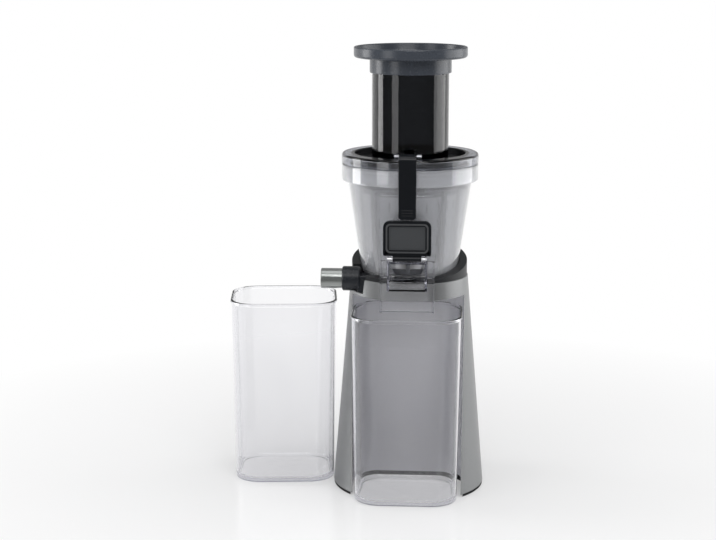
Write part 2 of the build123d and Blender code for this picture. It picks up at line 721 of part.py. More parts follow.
def case_outline(shrink):
    """Pear-shaped plan of the gear case."""
    big = case_reach() - shrink
    small = case_small_reach() - shrink
    return make_hull(Circle(big).edges() + (Pos(0, DRIVE_Y) * Circle(small)).edges())


def make_gear_case():
    """Open-topped gear case with screw ears, on the niche's ceiling and the gearhead."""
    low = CASE_BOTTOM_Z
    body = Pos(0, 0, low) * extrude(case_outline(0), amount=DECK_BOTTOM_Z - SEAT - low)
    for x, y in case_ears():
        body += upright(CASE_EAR_R, low, DECK_BOTTOM_Z - SEAT, x, y)
    body -= Pos(0, 0, low + CASE_FLOOR) * extrude(case_outline(CASE_WALL), amount=DECK_BOTTOM_Z - low)
    body -= upright(SHAFT_PILOT_R + RUN, low, low + CASE_FLOOR)
    body -= upright(PINION_SHAFT_R + FREE, low, low + CASE_FLOOR, 0, DRIVE_Y)
    for x, y in case_ears():
        body -= upright(SCREW_R + SEAT, low + CASE_FLOOR, DECK_BOTTOM_Z, x, y)
    return body


def make_thrust_washer():
    """Bronze washer below the output gear."""
    low = CASE_BOTTOM_Z + CASE_FLOOR
    return ring(WASHER_R, SHAFT_PILOT_R + RUN, low, low + WASHER_T)


def make_output_bearing():
    """Flanged bearing in the deck plate."""
    low = BASE_TOP_Z - BEARING_H
    return ring(BEARING_R, SHAFT_R + RUN, low, BASE_TOP_Z)


def make_gearhead():
    """Planetary gearhead, closed, with rings pressed into its barrel."""
    low, high = GEARHEAD_BOTTOM_Z, GEARHEAD_TOP_Z
    barrel = upright(GEARHEAD_R, low, high, 0, DRIVE_Y)
    for up in GEARHEAD_SEAMS:
        groove = ring(GEARHEAD_R + CUT, GEARHEAD_R - GEARHEAD_SEAM_D, low + up, low + up + GEARHEAD_SEAM_W)
        barrel -= Pos(0, DRIVE_Y, 0) * groove
    return barrel


def make_motor_can():
    """Rolled steel can of the motor, with two cooling windows near its lower end."""
    low, high = MOTOR_BOTTOM_Z, GEARHEAD_BOTTOM_Z
    can = upright(MOTOR_R, low, high, 0, DRIVE_Y)
    for turn in (0, 90):
        window = Rot(0, 0, turn) * Box(CUT, MOTOR_WINDOW_W, MOTOR_WINDOW_H)
        inside = upright(MOTOR_R - MOTOR_WINDOW_D, low, high, 0, DRIVE_Y)
        can -= (Pos(0, DRIVE_Y, low + MOTOR_WINDOW_UP) * window) - inside
    return can


def make_motor_cap():
    """Moulded end cap with the two brush holders and terminals."""
    high = MOTOR_BOTTOM_Z
    cap = upright(MOTOR_R - MOTOR_CAP_IN, high - MOTOR_CAP_H, high, 0, DRIVE_Y)
    low = high - MOTOR_CAP_H
    cap += upright(MOTOR_BOSS_R, low - MOTOR_BOSS_H, high, 0, DRIVE_Y)
    for side in (-1, 1):
        blade = Box(TERMINAL_W, TERMINAL_T, 2 * TERMINAL_H)
        cap += Pos(side * TERMINAL_X, DRIVE_Y, low) * blade
    return cap


# ---------------------------------------------------------------- electrics
def board_corners():
    """Centres of the four board pillars."""
    dx = BOARD_SIZE[0] / 2 - BOARD_POST_IN
    dy = BOARD_SIZE[1] / 2 - BOARD_POST_IN
    return [(sx * dx, BOARD_Y + sy * dy) for sx in (-1, 1) for sy in (-1, 1)]


def make_control_board():
    """Circuit board on its four pillars."""
    low = FLOOR_TOP_Z + BOARD_STAND
    half_x, half_y = BOARD_SIZE[0] / 2, BOARD_SIZE[1] / 2
    return block(-half_x, half_x, BOARD_Y - half_y, BOARD_Y + half_y, low, low + BOARD_SIZE[2])


def make_board_parts():
    """What stands on the board: a heat sink, a capacitor, a choke and a connector."""
    low = FLOOR_TOP_Z + BOARD_STAND + BOARD_SIZE[2]
    near, far = BOARD_Y - SINK_D / 2, BOARD_Y + SINK_D / 2
    sink = block(SINK_X, SINK_X + SINK_W, near, far, low, low + SINK_FOOT)
    pitch = (SINK_W - SINK_FIN_T) / (SINK_FINS - 1)
    for number in range(SINK_FINS):
        x = SINK_X + number * pitch
        sink += block(x, x + SINK_FIN_T, near, far, low, low + SINK_H)
    capacitor = upright(CAPACITOR_R, low, low + CAPACITOR_H, CAPACITOR_AT[0], BOARD_Y + CAPACITOR_AT[1])
    choke = ring(CHOKE_R, CHOKE_BORE_R, low, low + CHOKE_H, CHOKE_AT[0], BOARD_Y + CHOKE_AT[1])
    height = CONNECTOR_SIZE[2]
    connector = Pos(CONNECTOR_AT[0], BOARD_Y + CONNECTOR_AT[1], low + height / 2) * Box(*CONNECTOR_SIZE)
    return [sink, capacitor, choke, connector]


def rocker_axis_y():
    """Depth of the rocker's pivot, level with the housing's rear wall."""
    return base_r(SWITCH_Z) - ROCKER_PIN_IN


def make_switch_bezel():
    """Frame and box of the rocker switch, clipped into the rear wall."""
    rear = base_r(SWITCH_Z)
    half_w, half_h = SWITCH_W / 2, SWITCH_H / 2
    out = rear + SWITCH_FACE_OUT
    inside = rear - SWITCH_DEPTH
    face = block(-half_w, half_w, out, out + SWITCH_FACE_T, SWITCH_Z - half_h, SWITCH_Z + half_h)
    neck_w, neck_h = half_w - SWITCH_RIM, half_h - SWITCH_RIM
    neck = block(-neck_w, neck_w, inside, out, SWITCH_Z - neck_h, SWITCH_Z + neck_h)
    well_w, well_h = neck_w - SWITCH_WALL, neck_h - SWITCH_WALL
    well = block(-well_w, well_w, inside + SWITCH_FACE_T, rear + CUT, SWITCH_Z - well_h, SWITCH_Z + well_h)
    pin = crosswise(ROCKER_PIN_R, neck_w, rocker_axis_y(), SWITCH_Z)
    return face + neck - well + pin


def make_switch_rocker():
    """Rocker with two pads that tilts about the pin in the bezel."""
    well_w = SWITCH_W / 2 - SWITCH_RIM - SWITCH_WALL - FREE
    well_h = SWITCH_H / 2 - SWITCH_RIM - SWITCH_WALL - FREE
    y = rocker_axis_y()
    low, high = SWITCH_Z - well_h, SWITCH_Z + well_h
    back, end = y - ROCKER_BACK, y + ROCKER_END
    outline = [
        (back, low + ROCKER_TAPER), (end, low + ROCKER_EDGE), (y + ROCKER_CROWN, SWITCH_Z),
        (end, high - ROCKER_EDGE), (back, high - ROCKER_TAPER),
    ]
    return side_plate(outline, -well_w, well_w) - crosswise(ROCKER_PIN_R + RUN, SWITCH_W, y, SWITCH_Z)


def make_cord_gland():
    """Bushing in the rear wall that the mains lead passes through."""
    rear = base_r(GLAND_Z)
    along = Rot(90, 0, 0)
    end = rear + GLAND_OUT
    barrel = Pos(0, end - GLAND_L / 2, GLAND_Z) * along * Cylinder(GLAND_R, GLAND_L)
    flange = Cylinder(GLAND_R + GLAND_FLANGE_W, GLAND_FLANGE_T)
    flange = Pos(0, end - GLAND_FLANGE_T / 2, GLAND_Z) * along * flange
    bore = Pos(0, rear, GLAND_Z) * along * Cylinder(GLAND_BORE_R, CUT)
    return barrel + flange - bore


# ---------------------------------------------------------------- deck
def make_deck_plate():
    """Lid of the gear case and floor below the bowl, with the bearing's seat."""
    plate = cone_slice(base_r, DECK_BOTTOM_Z, BASE_TOP_Z, -BASE_WALL - SEAT)
    plate -= upright(BEARING_R + SEAT, DECK_BOTTOM_Z, BASE_TOP_Z)
    for x, y in case_ears():
        plate -= upright(SCREW_R + SEAT, DECK_BOTTOM_Z, BASE_TOP_Z, x, y)
    return plate - chute_notch(NOTCH_GAP)


def make_deck_screws():
    """Four screws through the deck plate into the gear case's ears."""
    return [screw(x, y, BASE_TOP_Z + SCREW_HEAD_H, DECK_SCREW_L, -1) for x, y in case_ears()]


def make_deck_collar():
    """Collar round the bowl's foot: low at the front, high at the rear, with three key slots."""
    reach = COLLAR_R
    ring_blank = upright(reach, BASE_TOP_Z, COLLAR_REAR_Z)
    room = cone_slice(bowl_r, BASE_TOP_Z, COLLAR_REAR_Z, COLLAR_GAP)
    side = [
        (-reach, BASE_TOP_Z), (reach, BASE_TOP_Z), (reach, COLLAR_REAR_Z), (-reach, COLLAR_FRONT_Z),
    ]
    collar = (ring_blank & side_plate(side, -reach, reach)) - room
    for angle in KEY_ANGLES:
        key = block(0, bowl_r(COLLAR_REAR_Z) + COLLAR_KEY_D + FREE, -COLLAR_KEY_W / 2 - FREE,
                    COLLAR_KEY_W / 2 + FREE, BASE_TOP_Z, COLLAR_REAR_Z)
        collar -= Rot(0, 0, angle) * key
    return collar - chute_notch(NOTCH_GAP)


def make_shaft_seal():
    """Lip seal round the drive shaft, on the deck plate."""
    low = BASE_TOP_Z
    outline = [
        (SHAFT_R + SOFT, low), (SHAFT_R + SEAL_LIP_OUT, low),
        (SHAFT_R + SEAL_LIP_OUT, low + SEAL_LIP_H / 2),
        (SHAFT_R + SEAL_LIP_W, low + SEAL_LIP_H), (SHAFT_R + SOFT, low + SEAL_LIP_H),
    ]
    return turned(outline)


def make_reed_switch():
    """Reed switch below the deck plate, under the bowl's magnet."""
    x, y = bowl_magnet_place()
    return Pos(x, y, DECK_BOTTOM_Z - REED_SIZE[2] / 2) * Box(*REED_SIZE)


def bowl_magnet_place():
    """Bearing and radius of the bowl's magnet."""
    return polar(MAGNET_AT, MAGNET_ANGLE)


def make_bowl_magnet():
    """Magnet under the bowl's floor that tells the control that the bowl is on."""
    x, y = bowl_magnet_place()
    return upright(MAGNET_R, BOWL_FOOT_Z - MAGNET_H, BOWL_FOOT_Z, x, y)


# ---------------------------------------------------------------- bowl
def front_panel(low, high, width):
    """Raised panel that follows the bowl's front wall."""
    grown = cone_slice(bowl_r, low, high, PANEL_PROUD)
    inner = cone_slice(bowl_r, low, high, -BOWL_WALL / 2)
    face = RectangleRounded(width, 2 * (high - low), PANEL_CORNER_R)
    reach = BOWL_COLLAR_R
    window = Pos(0, 0, low) * extrude(Plane.XZ * face, amount=reach, dir=(0, -1, 0))
    return (grown - inner) & window


def spout_window(grow):
    """Room of the juice channel through the bowl's front wall."""
    half = SPOUT_IN_W / 2 + grow
    low, high = BOWL_FLOOR_TOP_Z - grow, SPOUT_ROOF_Z - SPOUT_WALL + grow
    return block(-half, half, -bowl_r(high) - 2 * PANEL_PROUD, -SIEVE_FOOT_R - 1, low, high)


def make_bowl():
    """Tapered bowl: wall, wide hollow collar, floor with its centre boss, panel and keys."""
    foot, neck = BOWL_FOOT_Z, BOWL_SHOULDER_Z
    wall = BOWL_WALL
    skirt_r = BOWL_COLLAR_R - BOWL_COLLAR_WALL
    skirt_z = BOWL_TOP_Z - BOWL_COLLAR_H
    outer = [
        (0, foot), (BOWL_FOOT_R, foot), (BOWL_SHOULDER_R, neck),
        (BOWL_SHOULDER_R, BOWL_TOP_Z - BOWL_COLLAR_WALL),
        (skirt_r, BOWL_TOP_Z - BOWL_COLLAR_WALL), (skirt_r, skirt_z),
        (BOWL_COLLAR_R - BOWL_EDGE, skirt_z), (BOWL_COLLAR_R, skirt_z + BOWL_EDGE),
        (BOWL_COLLAR_R, BOWL_TOP_Z - BOWL_EDGE), (BOWL_COLLAR_R - BOWL_EDGE, BOWL_TOP_Z),
        (0, BOWL_TOP_Z),
    ]
    room = [
        (0, foot + BOWL_FLOOR), (bowl_r(foot + BOWL_FLOOR) - wall, foot + BOWL_FLOOR),
        (BOWL_MOUTH_R, neck), (BOWL_MOUTH_R, BOWL_TOP_Z), (0, BOWL_TOP_Z),
    ]
    shell = turned(outer)
    shell += front_panel(SPOUT_ROOF_Z, PANEL_TOP_Z, PANEL_W)
    shell -= turned(room)
    for angle in KEY_ANGLES:
        high = FRONT_KEY_TOP_Z if angle == FRONT_KEY else KEY_TOP_Z
        key = block(bowl_r(foot) - wall / 2, bowl_r(high) + COLLAR_KEY_D, -COLLAR_KEY_W / 2,
                    COLLAR_KEY_W / 2, foot, high)
        shell += Rot(0, 0, angle) * key - turned(room)
    shell += upright(BOSS_R, foot, BOSS_TOP_Z)
    shell -= upright(BOSS_BORE_R, foot, BOSS_TOP_Z)
    shell -= upright(PORT_R, foot, foot + BOWL_FLOOR, PORT_X, PORT_Y)
    shell -= spout_window(0)
    for side in (-1, 1):
        x = side * (LOCK_W / 2 + FREE + GUIDE_RIB_W / 2)
        high = BOWL_TOP_Z - GUIDE_RIB_DROP
        shell += block(x - GUIDE_RIB_W / 2, x + GUIDE_RIB_W / 2, -BOWL_COLLAR_R - GUIDE_RIB_D, -skirt_r,
                       high - GUIDE_RIB_H, high)
    return shell


def make_bowl_seal():
    """Silicone sleeve round the centre boss, inside the screw's foot."""
    lip = AUGER_RECESS_R - SOFT
    sleeve = BOSS_R + BOWL_SEAL_T
    high = BOWL_SEAL_Z + BOWL_SEAL_H
    outline = [
        (BOSS_R + SEAT, BOWL_SEAL_Z), (sleeve, BOWL_SEAL_Z), (sleeve, high - 2 * BOWL_SEAL_LIP),
        (lip, high - BOWL_SEAL_LIP), (sleeve, high), (BOSS_R + SEAT, high),
    ]
    return turned(outline)


def spout_side(change):
    """Side view of the juice channel, grown by a wall."""
    back = -bowl_r(SPOUT_LEVEL_Z) + BOWL_WALL / 2
    roof = SPOUT_ROOF_Z - SPOUT_WALL + change
    level = SPOUT_LEVEL_Z + SPOUT_WALL - change
    tip = SPOUT_TIP_Z + SPOUT_WALL - change
    return [
        (back, level), (back, roof), (SPOUT_TIP_Y, roof), (SPOUT_TIP_Y, tip), (SPOUT_BEND_Y, level),
    ]


def make_juice_spout():
    """Clear spout with a bent floor and the two ears that carry the drip-stop cap."""
    half_out, half_in = SPOUT_OUT_W / 2, SPOUT_IN_W / 2
    body = side_plate(spout_side(SPOUT_WALL), -half_out, half_out)
    hollow = side_plate(spout_side(0), -half_in, half_in)
    for side in (-1, 1):
        x = side * EAR_X
        eye = crosswise(HINGE_EYE_R, EAR_W / 2, HINGE_Y, HINGE_Z, x)
        foot = block(x - EAR_W / 2, x + EAR_W / 2, HINGE_Y + EAR_FOOT_FRONT, HINGE_Y + EAR_FOOT_BACK,
                     SPOUT_ROOF_Z - SPOUT_WALL / 2, HINGE_Z)
        body += eye + foot
    body -= hollow
    body -= crosswise(HINGE_PIN_R, GUARD_W, HINGE_Y, HINGE_Z)
    bowl_skin = cone_slice(bowl_r, SPOUT_TIP_Z, SPOUT_ROOF_Z, SEAT)
    panel_skin = cone_slice(bowl_r, SPOUT_ROOF_Z, HINGE_Z + HINGE_EYE_R, PANEL_PROUD + SEAT)
    front_key = block(-COLLAR_KEY_W / 2 - SEAT, COLLAR_KEY_W / 2 + SEAT, -COLLAR_R, 0,
                      BOWL_FOOT_Z, FRONT_KEY_TOP_Z + SEAT)
    return body - bowl_skin - panel_skin - front_key


def make_drip_guard():
    """Clear guard round the spout: a back wall and two cheeks, on ledges at the spout's sides."""
    half = GUARD_W / 2
    low, high = GUARD_BOTTOM_Z, SPOUT_ROOF_Z
    front, rear = GUARD_FRONT_Y, GUARD_BACK_Y
    spout_half = SPOUT_OUT_W / 2 + SEAT
    guard = block(-half, half, rear - GUARD_WALL, rear, low, high)
    for side in (-1, 1):
        inner, outer = sorted((side * half, side * (half - GUARD_WALL)))
        guard += block(inner, outer, front, rear, low, high)
        inner, outer = sorted((side * spout_half, side * half))
        guard += block(inner, outer, front, rear, GUARD_LEDGE_Z, GUARD_LEDGE_Z + GUARD_WALL)
    channel = side_plate(spout_side(SPOUT_WALL + SEAT), -spout_half, spout_half)
    above = block(-spout_half, spout_half, front - CUT, rear + CUT, high - SPOUT_WALL, high)
    return guard - channel - above


def make_spout_cap():
    """Drip-stop cap, open position: dished plate with rounded top corners and a hinge barrel."""
    near, far = HINGE_Y + SOFT, HINGE_Y + SOFT + CAP_T
    low, high = HINGE_Z + CAP_FREE, HINGE_Z + CAP_FREE + CAP_H
    face = RectangleRounded(CAP_W, 2 * CAP_H, CAP_CORNER_R)
    plate = Pos(0, near, low) * extrude(Plane.XZ * face, amount=CAP_T, dir=(0, 1, 0))
    plate &= block(-CAP_W, CAP_W, near, far, low, high)
    dish = RectangleRounded(CAP_W - 2 * CAP_BORDER, CAP_H - 2 * CAP_BORDER, CAP_CORNER_R / 2)
    middle = (low + high) / 2
    plate -= Pos(0, near, middle) * extrude(Plane.XZ * dish, amount=CAP_DISH, dir=(0, 1, 0))
    back_dish = RectangleRounded(CAP_W - CAP_BORDER, CAP_H - CAP_BORDER, CAP_CORNER_R / 2)
    plate -= Pos(0, far, middle) * extrude(Plane.XZ * back_dish, amount=CAP_DISH, dir=(0, -1, 0))
    plate -= cap_seal_shape(SEAT)
    half = EAR_X - EAR_W / 2 - FREE
    barrel = crosswise(HINGE_EYE_R, half, HINGE_Y, HINGE_Z)
    web = block(-half, half, near, far - CAP_WEB_IN, HINGE_Z, low + CAP_WEB_IN)
    bore = crosswise(HINGE_PIN_R + RUN, CAP_W, HINGE_Y, HINGE_Z)
    return plate + barrel + web - bore


def cap_seal_shape(grow):
    """Racetrack of the cap's seal, pressed into the border of the cap."""
    near = HINGE_Y + SOFT
    middle = HINGE_Z + CAP_FREE + CAP_H / 2
    width = CAP_W - CAP_BORDER
    height = CAP_H - CAP_BORDER
    outer = RectangleRounded(width + 2 * grow, height + 2 * grow, CAP_CORNER_R / 2 + CAP_SEAL_T + grow)
    slim = 2 * (CAP_SEAL_W + grow)
    inner = RectangleRounded(width - slim, height - slim, CAP_CORNER_R / 2 - SEAT - grow)
    profile = Plane.XZ * (outer - inner)
    start = near - CAP_SEAL_PROUD - grow
    return Pos(0, start, middle) * extrude(profile, amount=CAP_SEAL_T + 2 * grow, dir=(0, 1, 0))


def make_cap_seal():
    """Silicone ring on the face of the cap that meets the spout's mouth."""
    return cap_seal_shape(0)


def make_cap_pin():
    """Steel pin through the spout's ears and the cap's barrel."""
    return crosswise(HINGE_PIN_R, EAR_X + EAR_W / 2 + PIN_END, HINGE_Y, HINGE_Z)


# ---------------------------------------------------------------- pulp outlet
def make_pulp_chute():
    """Elbow under the bowl: a flat duct from the port that opens into a round socket."""
    start_x = PORT_X - CHUTE_START
    bowl_reach = math.sqrt(bowl_r(PULP_TUBE_Z + SOCKET_R) ** 2 - (abs(CHUTE_Y) - SOCKET_R) ** 2)
    shoulder_x = -bowl_reach - CHUTE_SHOULDER
    low, high = CHUTE_BOTTOM_Z, BOWL_FOOT_Z - SEAT
    arm = block(shoulder_x - CHUTE_LAP, start_x, CHUTE_Y - CHUTE_END_R, CHUTE_Y + CHUTE_END_R, low, high)
    arm += upright(CHUTE_END_R, low, high, start_x, CHUTE_Y)
    length = shoulder_x - PULP_SOCKET_X
    middle = PULP_SOCKET_X + length / 2
    barrel = Pos(middle, CHUTE_Y, PULP_TUBE_Z) * Rot(0, 90, 0) * Cylinder(SOCKET_R, length)
    duct_half = CHUTE_END_R - CHUTE_WALL
    duct = block(PULP_SOCKET_X + PULP_SOCKET_DEPTH, start_x, CHUTE_Y - duct_half, CHUTE_Y + duct_half,
                 low + CHUTE_WALL, high - CHUTE_WALL)
    duct += upright(duct_half, low + CHUTE_WALL, high - CHUTE_WALL, start_x, CHUTE_Y)
    drop = upright(PORT_R, low + CHUTE_WALL, high, PORT_X, PORT_Y)
    seat = Pos(PULP_SOCKET_X + PULP_SOCKET_DEPTH / 2, CHUTE_Y, PULP_TUBE_Z) * Rot(0, 90, 0)
    socket = seat * Cylinder(PULP_TUBE_R + SEAT, PULP_SOCKET_DEPTH)
    bore = seat * Cylinder(PULP_TUBE_R - PULP_TUBE_WALL, 2 * PULP_SOCKET_DEPTH)
    return arm + barrel - duct - drop - socket - (bore & barrel)


def make_pulp_tube():
    """Light grey outlet tube, pushed into the elbow's socket."""
    start = PULP_SOCKET_X + PULP_SOCKET_DEPTH
    length = start - PULP_TUBE_TIP_X
    place = Pos(PULP_TUBE_TIP_X + length / 2, CHUTE_Y, PULP_TUBE_Z) * Rot(0, 90, 0)
    return place * (Cylinder(PULP_TUBE_R, length) - Cylinder(PULP_TUBE_R - PULP_TUBE_WALL, length))


# ---------------------------------------------------------------- strainer
def make_strainer_mesh():
    """Thin steel cone with columns of pressed slots."""
    low = SIEVE_FOOT_Z + SIEVE_RING_H / 2
    high = SIEVE_TOP_Z - SIEVE_RING_H / 2
    inner = -SIEVE_WALL
    sheet = cone_slice(sieve_r, low, high, inner + MESH_T) - cone_slice(sieve_r, low, high, inner)
    first = (low + high) / 2 - (SLOT_ROWS - 1) / 2 * SLOT_PITCH
    step = 360 / SLOT_COLUMNS
    for row in range(SLOT_ROWS):
        z = first + row * SLOT_PITCH
        for column in range(SLOT_COLUMNS // 2):
            bar = Box(2 * SIEVE_TOP_R, SLOT_W, SLOT_H)
            sheet -= Pos(0, 0, z) * Rot(0, 0, (column + 0.5) * step) * bar
    return sheet


def make_strainer_frame():
    """Moulded frame of the strainer: two rings, upright ribs and three locating tabs."""
    foot, top = SIEVE_FOOT_Z, SIEVE_TOP_Z
    bore = -SIEVE_WALL + MESH_T + SEAT
    full = cone_slice(sieve_r, foot, top) - cone_slice(sieve_r, foot, top, -SIEVE_WALL)
    groove = cone_slice(sieve_r, foot + SIEVE_RING_H / 2 - SEAT, top - SIEVE_RING_H / 2 + SEAT, bore)
    rings = full - upright(SIEVE_TOP_R + SIEVE_WALL, foot + SIEVE_RING_H, top - SIEVE_RING_H)
    outer = cone_slice(sieve_r, foot, top, SIEVE_RIB_D) - cone_slice(sieve_r, foot, top, bore)
    ribs = None
    for number in range(SIEVE_RIBS // 2):
        bar = Rot(0, 0, number * 360 / SIEVE_RIBS) * Box(4 * SIEVE_TOP_R, SIEVE_RIB_W, top - foot)
        bar = Pos(0, 0, (foot + top) / 2) * bar
        ribs = bar if ribs is None else ribs + bar
    low_clear = cone_slice(bowl_r, foot, top, -BOWL_WALL - LOOSE)
    frame = rings + (outer & ribs & low_clear)
    for number in range(SIEVE_TABS):
        tab = block(SIEVE_TOP_R - SIEVE_WALL / 2, bowl_r(top - SIEVE_TAB_T) - BOWL_WALL - SOFT,
                    -SIEVE_TAB_W / 2, SIEVE_TAB_W / 2, top - SIEVE_TAB_T, top)
        frame += Rot(0, 0, number * 360 / SIEVE_TABS) * tab
    return frame - groove


# ---------------------------------------------------------------- pressing screw
def screw_envelope():
    """Outer limit of the screw's flights: parallel to the strainer, then tapering in to the nose."""
    foot = AUGER_FOOT_Z
    shoulder = SIEVE_TOP_Z - AUGER_SHOULDER_DROP
    reach = -SIEVE_WALL - AUGER_RUN
    return turned([
        (0, foot), (sieve_r(foot) + reach, foot), (sieve_r(shoulder) + reach, shoulder),
        (AUGER_NOSE_R, AUGER_TOP_Z), (0, AUGER_TOP_Z),
    ])


def make_auger():
    """Pressing screw: bell-shaped core, helical flights, hexagon socket and top journal."""
    height = AUGER_TOP_Z - AUGER_FOOT_Z
    section = Circle(AUGER_CORE_R)
    section += Rectangle(2 * SIEVE_TOP_R, AUGER_FLIGHT_T)
    twisted = Solid.extrude_linear_with_rotation(
        section.faces()[0], center=(0, 0, AUGER_FOOT_Z), normal=(0, 0, height), angle=-AUGER_TURN
    )
    flights = Part() + twisted
    flights = flights & screw_envelope()
    bell = [(radius, AUGER_FOOT_Z + up) for radius, up in AUGER_BELL]
    core = turned([(0, AUGER_FOOT_Z)] + bell + [(AUGER_TIP_R, AUGER_TOP_Z), (0, AUGER_TOP_Z)])
    disc_r = sieve_r(AUGER_FOOT_Z) - SIEVE_WALL - AUGER_RUN
    core += frustum(disc_r, AUGER_FOOT_Z, disc_r - AUGER_DISC_DRAW, AUGER_FOOT_Z + AUGER_DISC_H)
    journal = upright(AUGER_PIN_R, AUGER_TOP_Z, AUGER_PIN_TOP_Z)
    recess_top = BOSS_TOP_Z + AUGER_SOCKET_WALL
    recess = upright(AUGER_RECESS_R, AUGER_FOOT_Z, recess_top)
    hexagon = RegularPolygon(HEX_ACROSS / 2 + HEX_GAP, 6, major_radius=False)
    depth = SHAFT_TOP_Z + AUGER_SOCKET_WALL - recess_top
    socket = Pos(0, 0, recess_top) * extrude(hexagon, amount=depth)
    return core + flights + journal - recess - socket


# ---------------------------------------------------------------- lid and feed tube
def make_lid_ring():
    """Lid: outer skirt, top plate, plug wall into the bowl and the ledge for the feed tube."""
    low = BOWL_TOP_Z + LOOSE
    plug_in = LID_PLUG_R - LID_PLUG_WALL
    outline = [
        (BOWL_COLLAR_R, low), (BOWL_COLLAR_R, LID_TOP_Z - LID_EDGE), (BOWL_COLLAR_R - LID_EDGE, LID_TOP_Z),
        (plug_in, LID_TOP_Z), (plug_in, LID_LEDGE_Z), (plug_in - LID_LEDGE_W, LID_LEDGE_Z),
        (plug_in - LID_LEDGE_W, LID_LEDGE_Z - LID_LEDGE_T), (plug_in, LID_LEDGE_Z - LID_LEDGE_T),
        (plug_in, LID_PLUG_BOTTOM_Z), (LID_PLUG_R, LID_PLUG_BOTTOM_Z),
        (LID_PLUG_R, LID_TOP_Z - LID_WALL), (BOWL_COLLAR_R - LID_WALL, LID_TOP_Z - LID_WALL),
        (BOWL_COLLAR_R - LID_WALL, low),
    ]
    lid = turned(outline)
    groove_r = LID_PLUG_R - LID_SEAL_GROOVE
    lid -= ring(BOWL_COLLAR_R, groove_r, LID_SEAL_Z - LID_SEAL_H / 2, LID_SEAL_Z + LID_SEAL_H / 2)
    for side in (-1, 1):
        x = side * (LOCK_W / 2 + FREE + LOCK_LUG_W / 2)
        half = LOCK_LUG_W / 2
        lug = crosswise(LOCK_EYE_R, half, LOCK_Y, LOCK_Z, x)
        foot_z = LID_TOP_Z - LID_WALL / 2
        lug += block(x - half, x + half, LOCK_Y - LOCK_EYE_R, LOCK_Y + LOCK_EYE_R, foot_z, LOCK_Z)
        lid += lug
    return lid - crosswise(LOCK_PIN_R, CUT, LOCK_Y, LOCK_Z)


def make_lid_seal():
    """Silicone ring in the groove of the lid's plug."""
    half = LID_SEAL_H / 2 - SEAT
    inner = LID_PLUG_R - LID_SEAL_GROOVE + SEAT
    outer = BOWL_MOUTH_R - SOFT
    return turned([
        (inner, LID_SEAL_Z - half), (outer - LID_SEAL_CREST, LID_SEAL_Z - half), (outer, LID_SEAL_Z),
        (outer - LID_SEAL_CREST, LID_SEAL_Z + half), (inner, LID_SEAL_Z + half),
    ])


def make_feed_tube():
    """Tall tube with the flange that rests on the lid's ledge."""
    outer_r = LID_PLUG_R - LID_PLUG_WALL - SEAT
    flange_top = FLANGE_Z + TUBE_FLANGE_T
    return turned([
        (TUBE_BORE_R, FLANGE_Z), (outer_r, FLANGE_Z), (outer_r, flange_top), (TUBE_R, flange_top),
        (TUBE_R, TUBE_TOP_Z - TUBE_EDGE), (TUBE_R - TUBE_EDGE, TUBE_TOP_Z), (TUBE_BORE_R, TUBE_TOP_Z),
    ])


def make_tube_spider():
    """Spider welded into the tube's foot: a capped hub for the screw's top bush on three legs."""
    hub_r = BUSH_R + HUB_WALL
    spider = upright(hub_r, FLANGE_Z, FLANGE_Z + BUSH_H)
    spider += frustum(hub_r, FLANGE_Z + BUSH_H, AUGER_PIN_R, FLANGE_Z + BUSH_H + HUB_CAP_H)
    for leg in range(SPIDER_LEGS):
        bar = block(BUSH_R + SEAT, TUBE_R, -SPIDER_W / 2, SPIDER_W / 2, FLANGE_Z, FLANGE_Z + SPIDER_H)
        spider += Rot(0, 0, 90 + leg * 360 / SPIDER_LEGS) * bar
    spider &= upright(TUBE_BORE_R - SEAT, FLANGE_Z, FLANGE_Z + BUSH_H + HUB_CAP_H)
    return spider - upright(BUSH_R + SEAT, FLANGE_Z, FLANGE_Z + BUSH_H)


def make_auger_bush():
    """Plain bearing in the spider for the screw's journal."""
    return ring(BUSH_R, AUGER_PIN_R + RUN, FLANGE_Z, FLANGE_Z + BUSH_H - SEAT)


def make_hopper_tray():
    """Feeding tray: a shallow dish with a rolled rim and a neck over the tube's top."""
    neck_in = TUBE_R + LOOSE
    neck_out = neck_in + TRAY_NECK_WALL
    seat = TUBE_TOP_Z + LOOSE
    floor = seat + TRAY_FLOOR_T
    rim_in = TRAY_R - TRAY_RIM_T
    under = TRAY_TOP_Z - TRAY_SKIRT_H
    dish = turned([
        (neck_in, TRAY_NECK_BOTTOM_Z), (neck_out, TRAY_NECK_BOTTOM_Z), (neck_out, under),
        (TRAY_R - TRAY_DRAW, under), (TRAY_R, under + TRAY_DRAW), (TRAY_R, TRAY_TOP_Z - TRAY_EDGE),
        (TRAY_R - TRAY_EDGE, TRAY_TOP_Z), (rim_in + TRAY_LIP, TRAY_TOP_Z), (rim_in, TRAY_TOP_Z - TRAY_LIP),
        (rim_in - TRAY_DISH_DRAW, floor + TRAY_EDGE), (TUBE_BORE_R + TRAY_EDGE, floor),
        (TUBE_BORE_R, floor - TRAY_LIP), (TUBE_BORE_R, seat), (neck_in, seat),
    ])
    return dish


def lock_side():
    """Side view of the lock arm, rounded at its elbow by short chamfers."""
    top = LOCK_Z + LOCK_EYE_R - LOCK_EYE_DRAW
    under = top - LOCK_T
    front = LOCK_FRONT_Y
    back = front + LOCK_T
    return [
        (LOCK_Y, under), (LOCK_Y, top), (front + LOCK_KNEE, top),
        (front + LOCK_KNEE_CUT, top - LOCK_KNEE_CUT), (front, top - LOCK_KNEE), (front, LOCK_BOTTOM_Z),
        (back, LOCK_BOTTOM_Z), (back, under - LOCK_CROOK), (back + LOCK_CROOK, under),
    ]


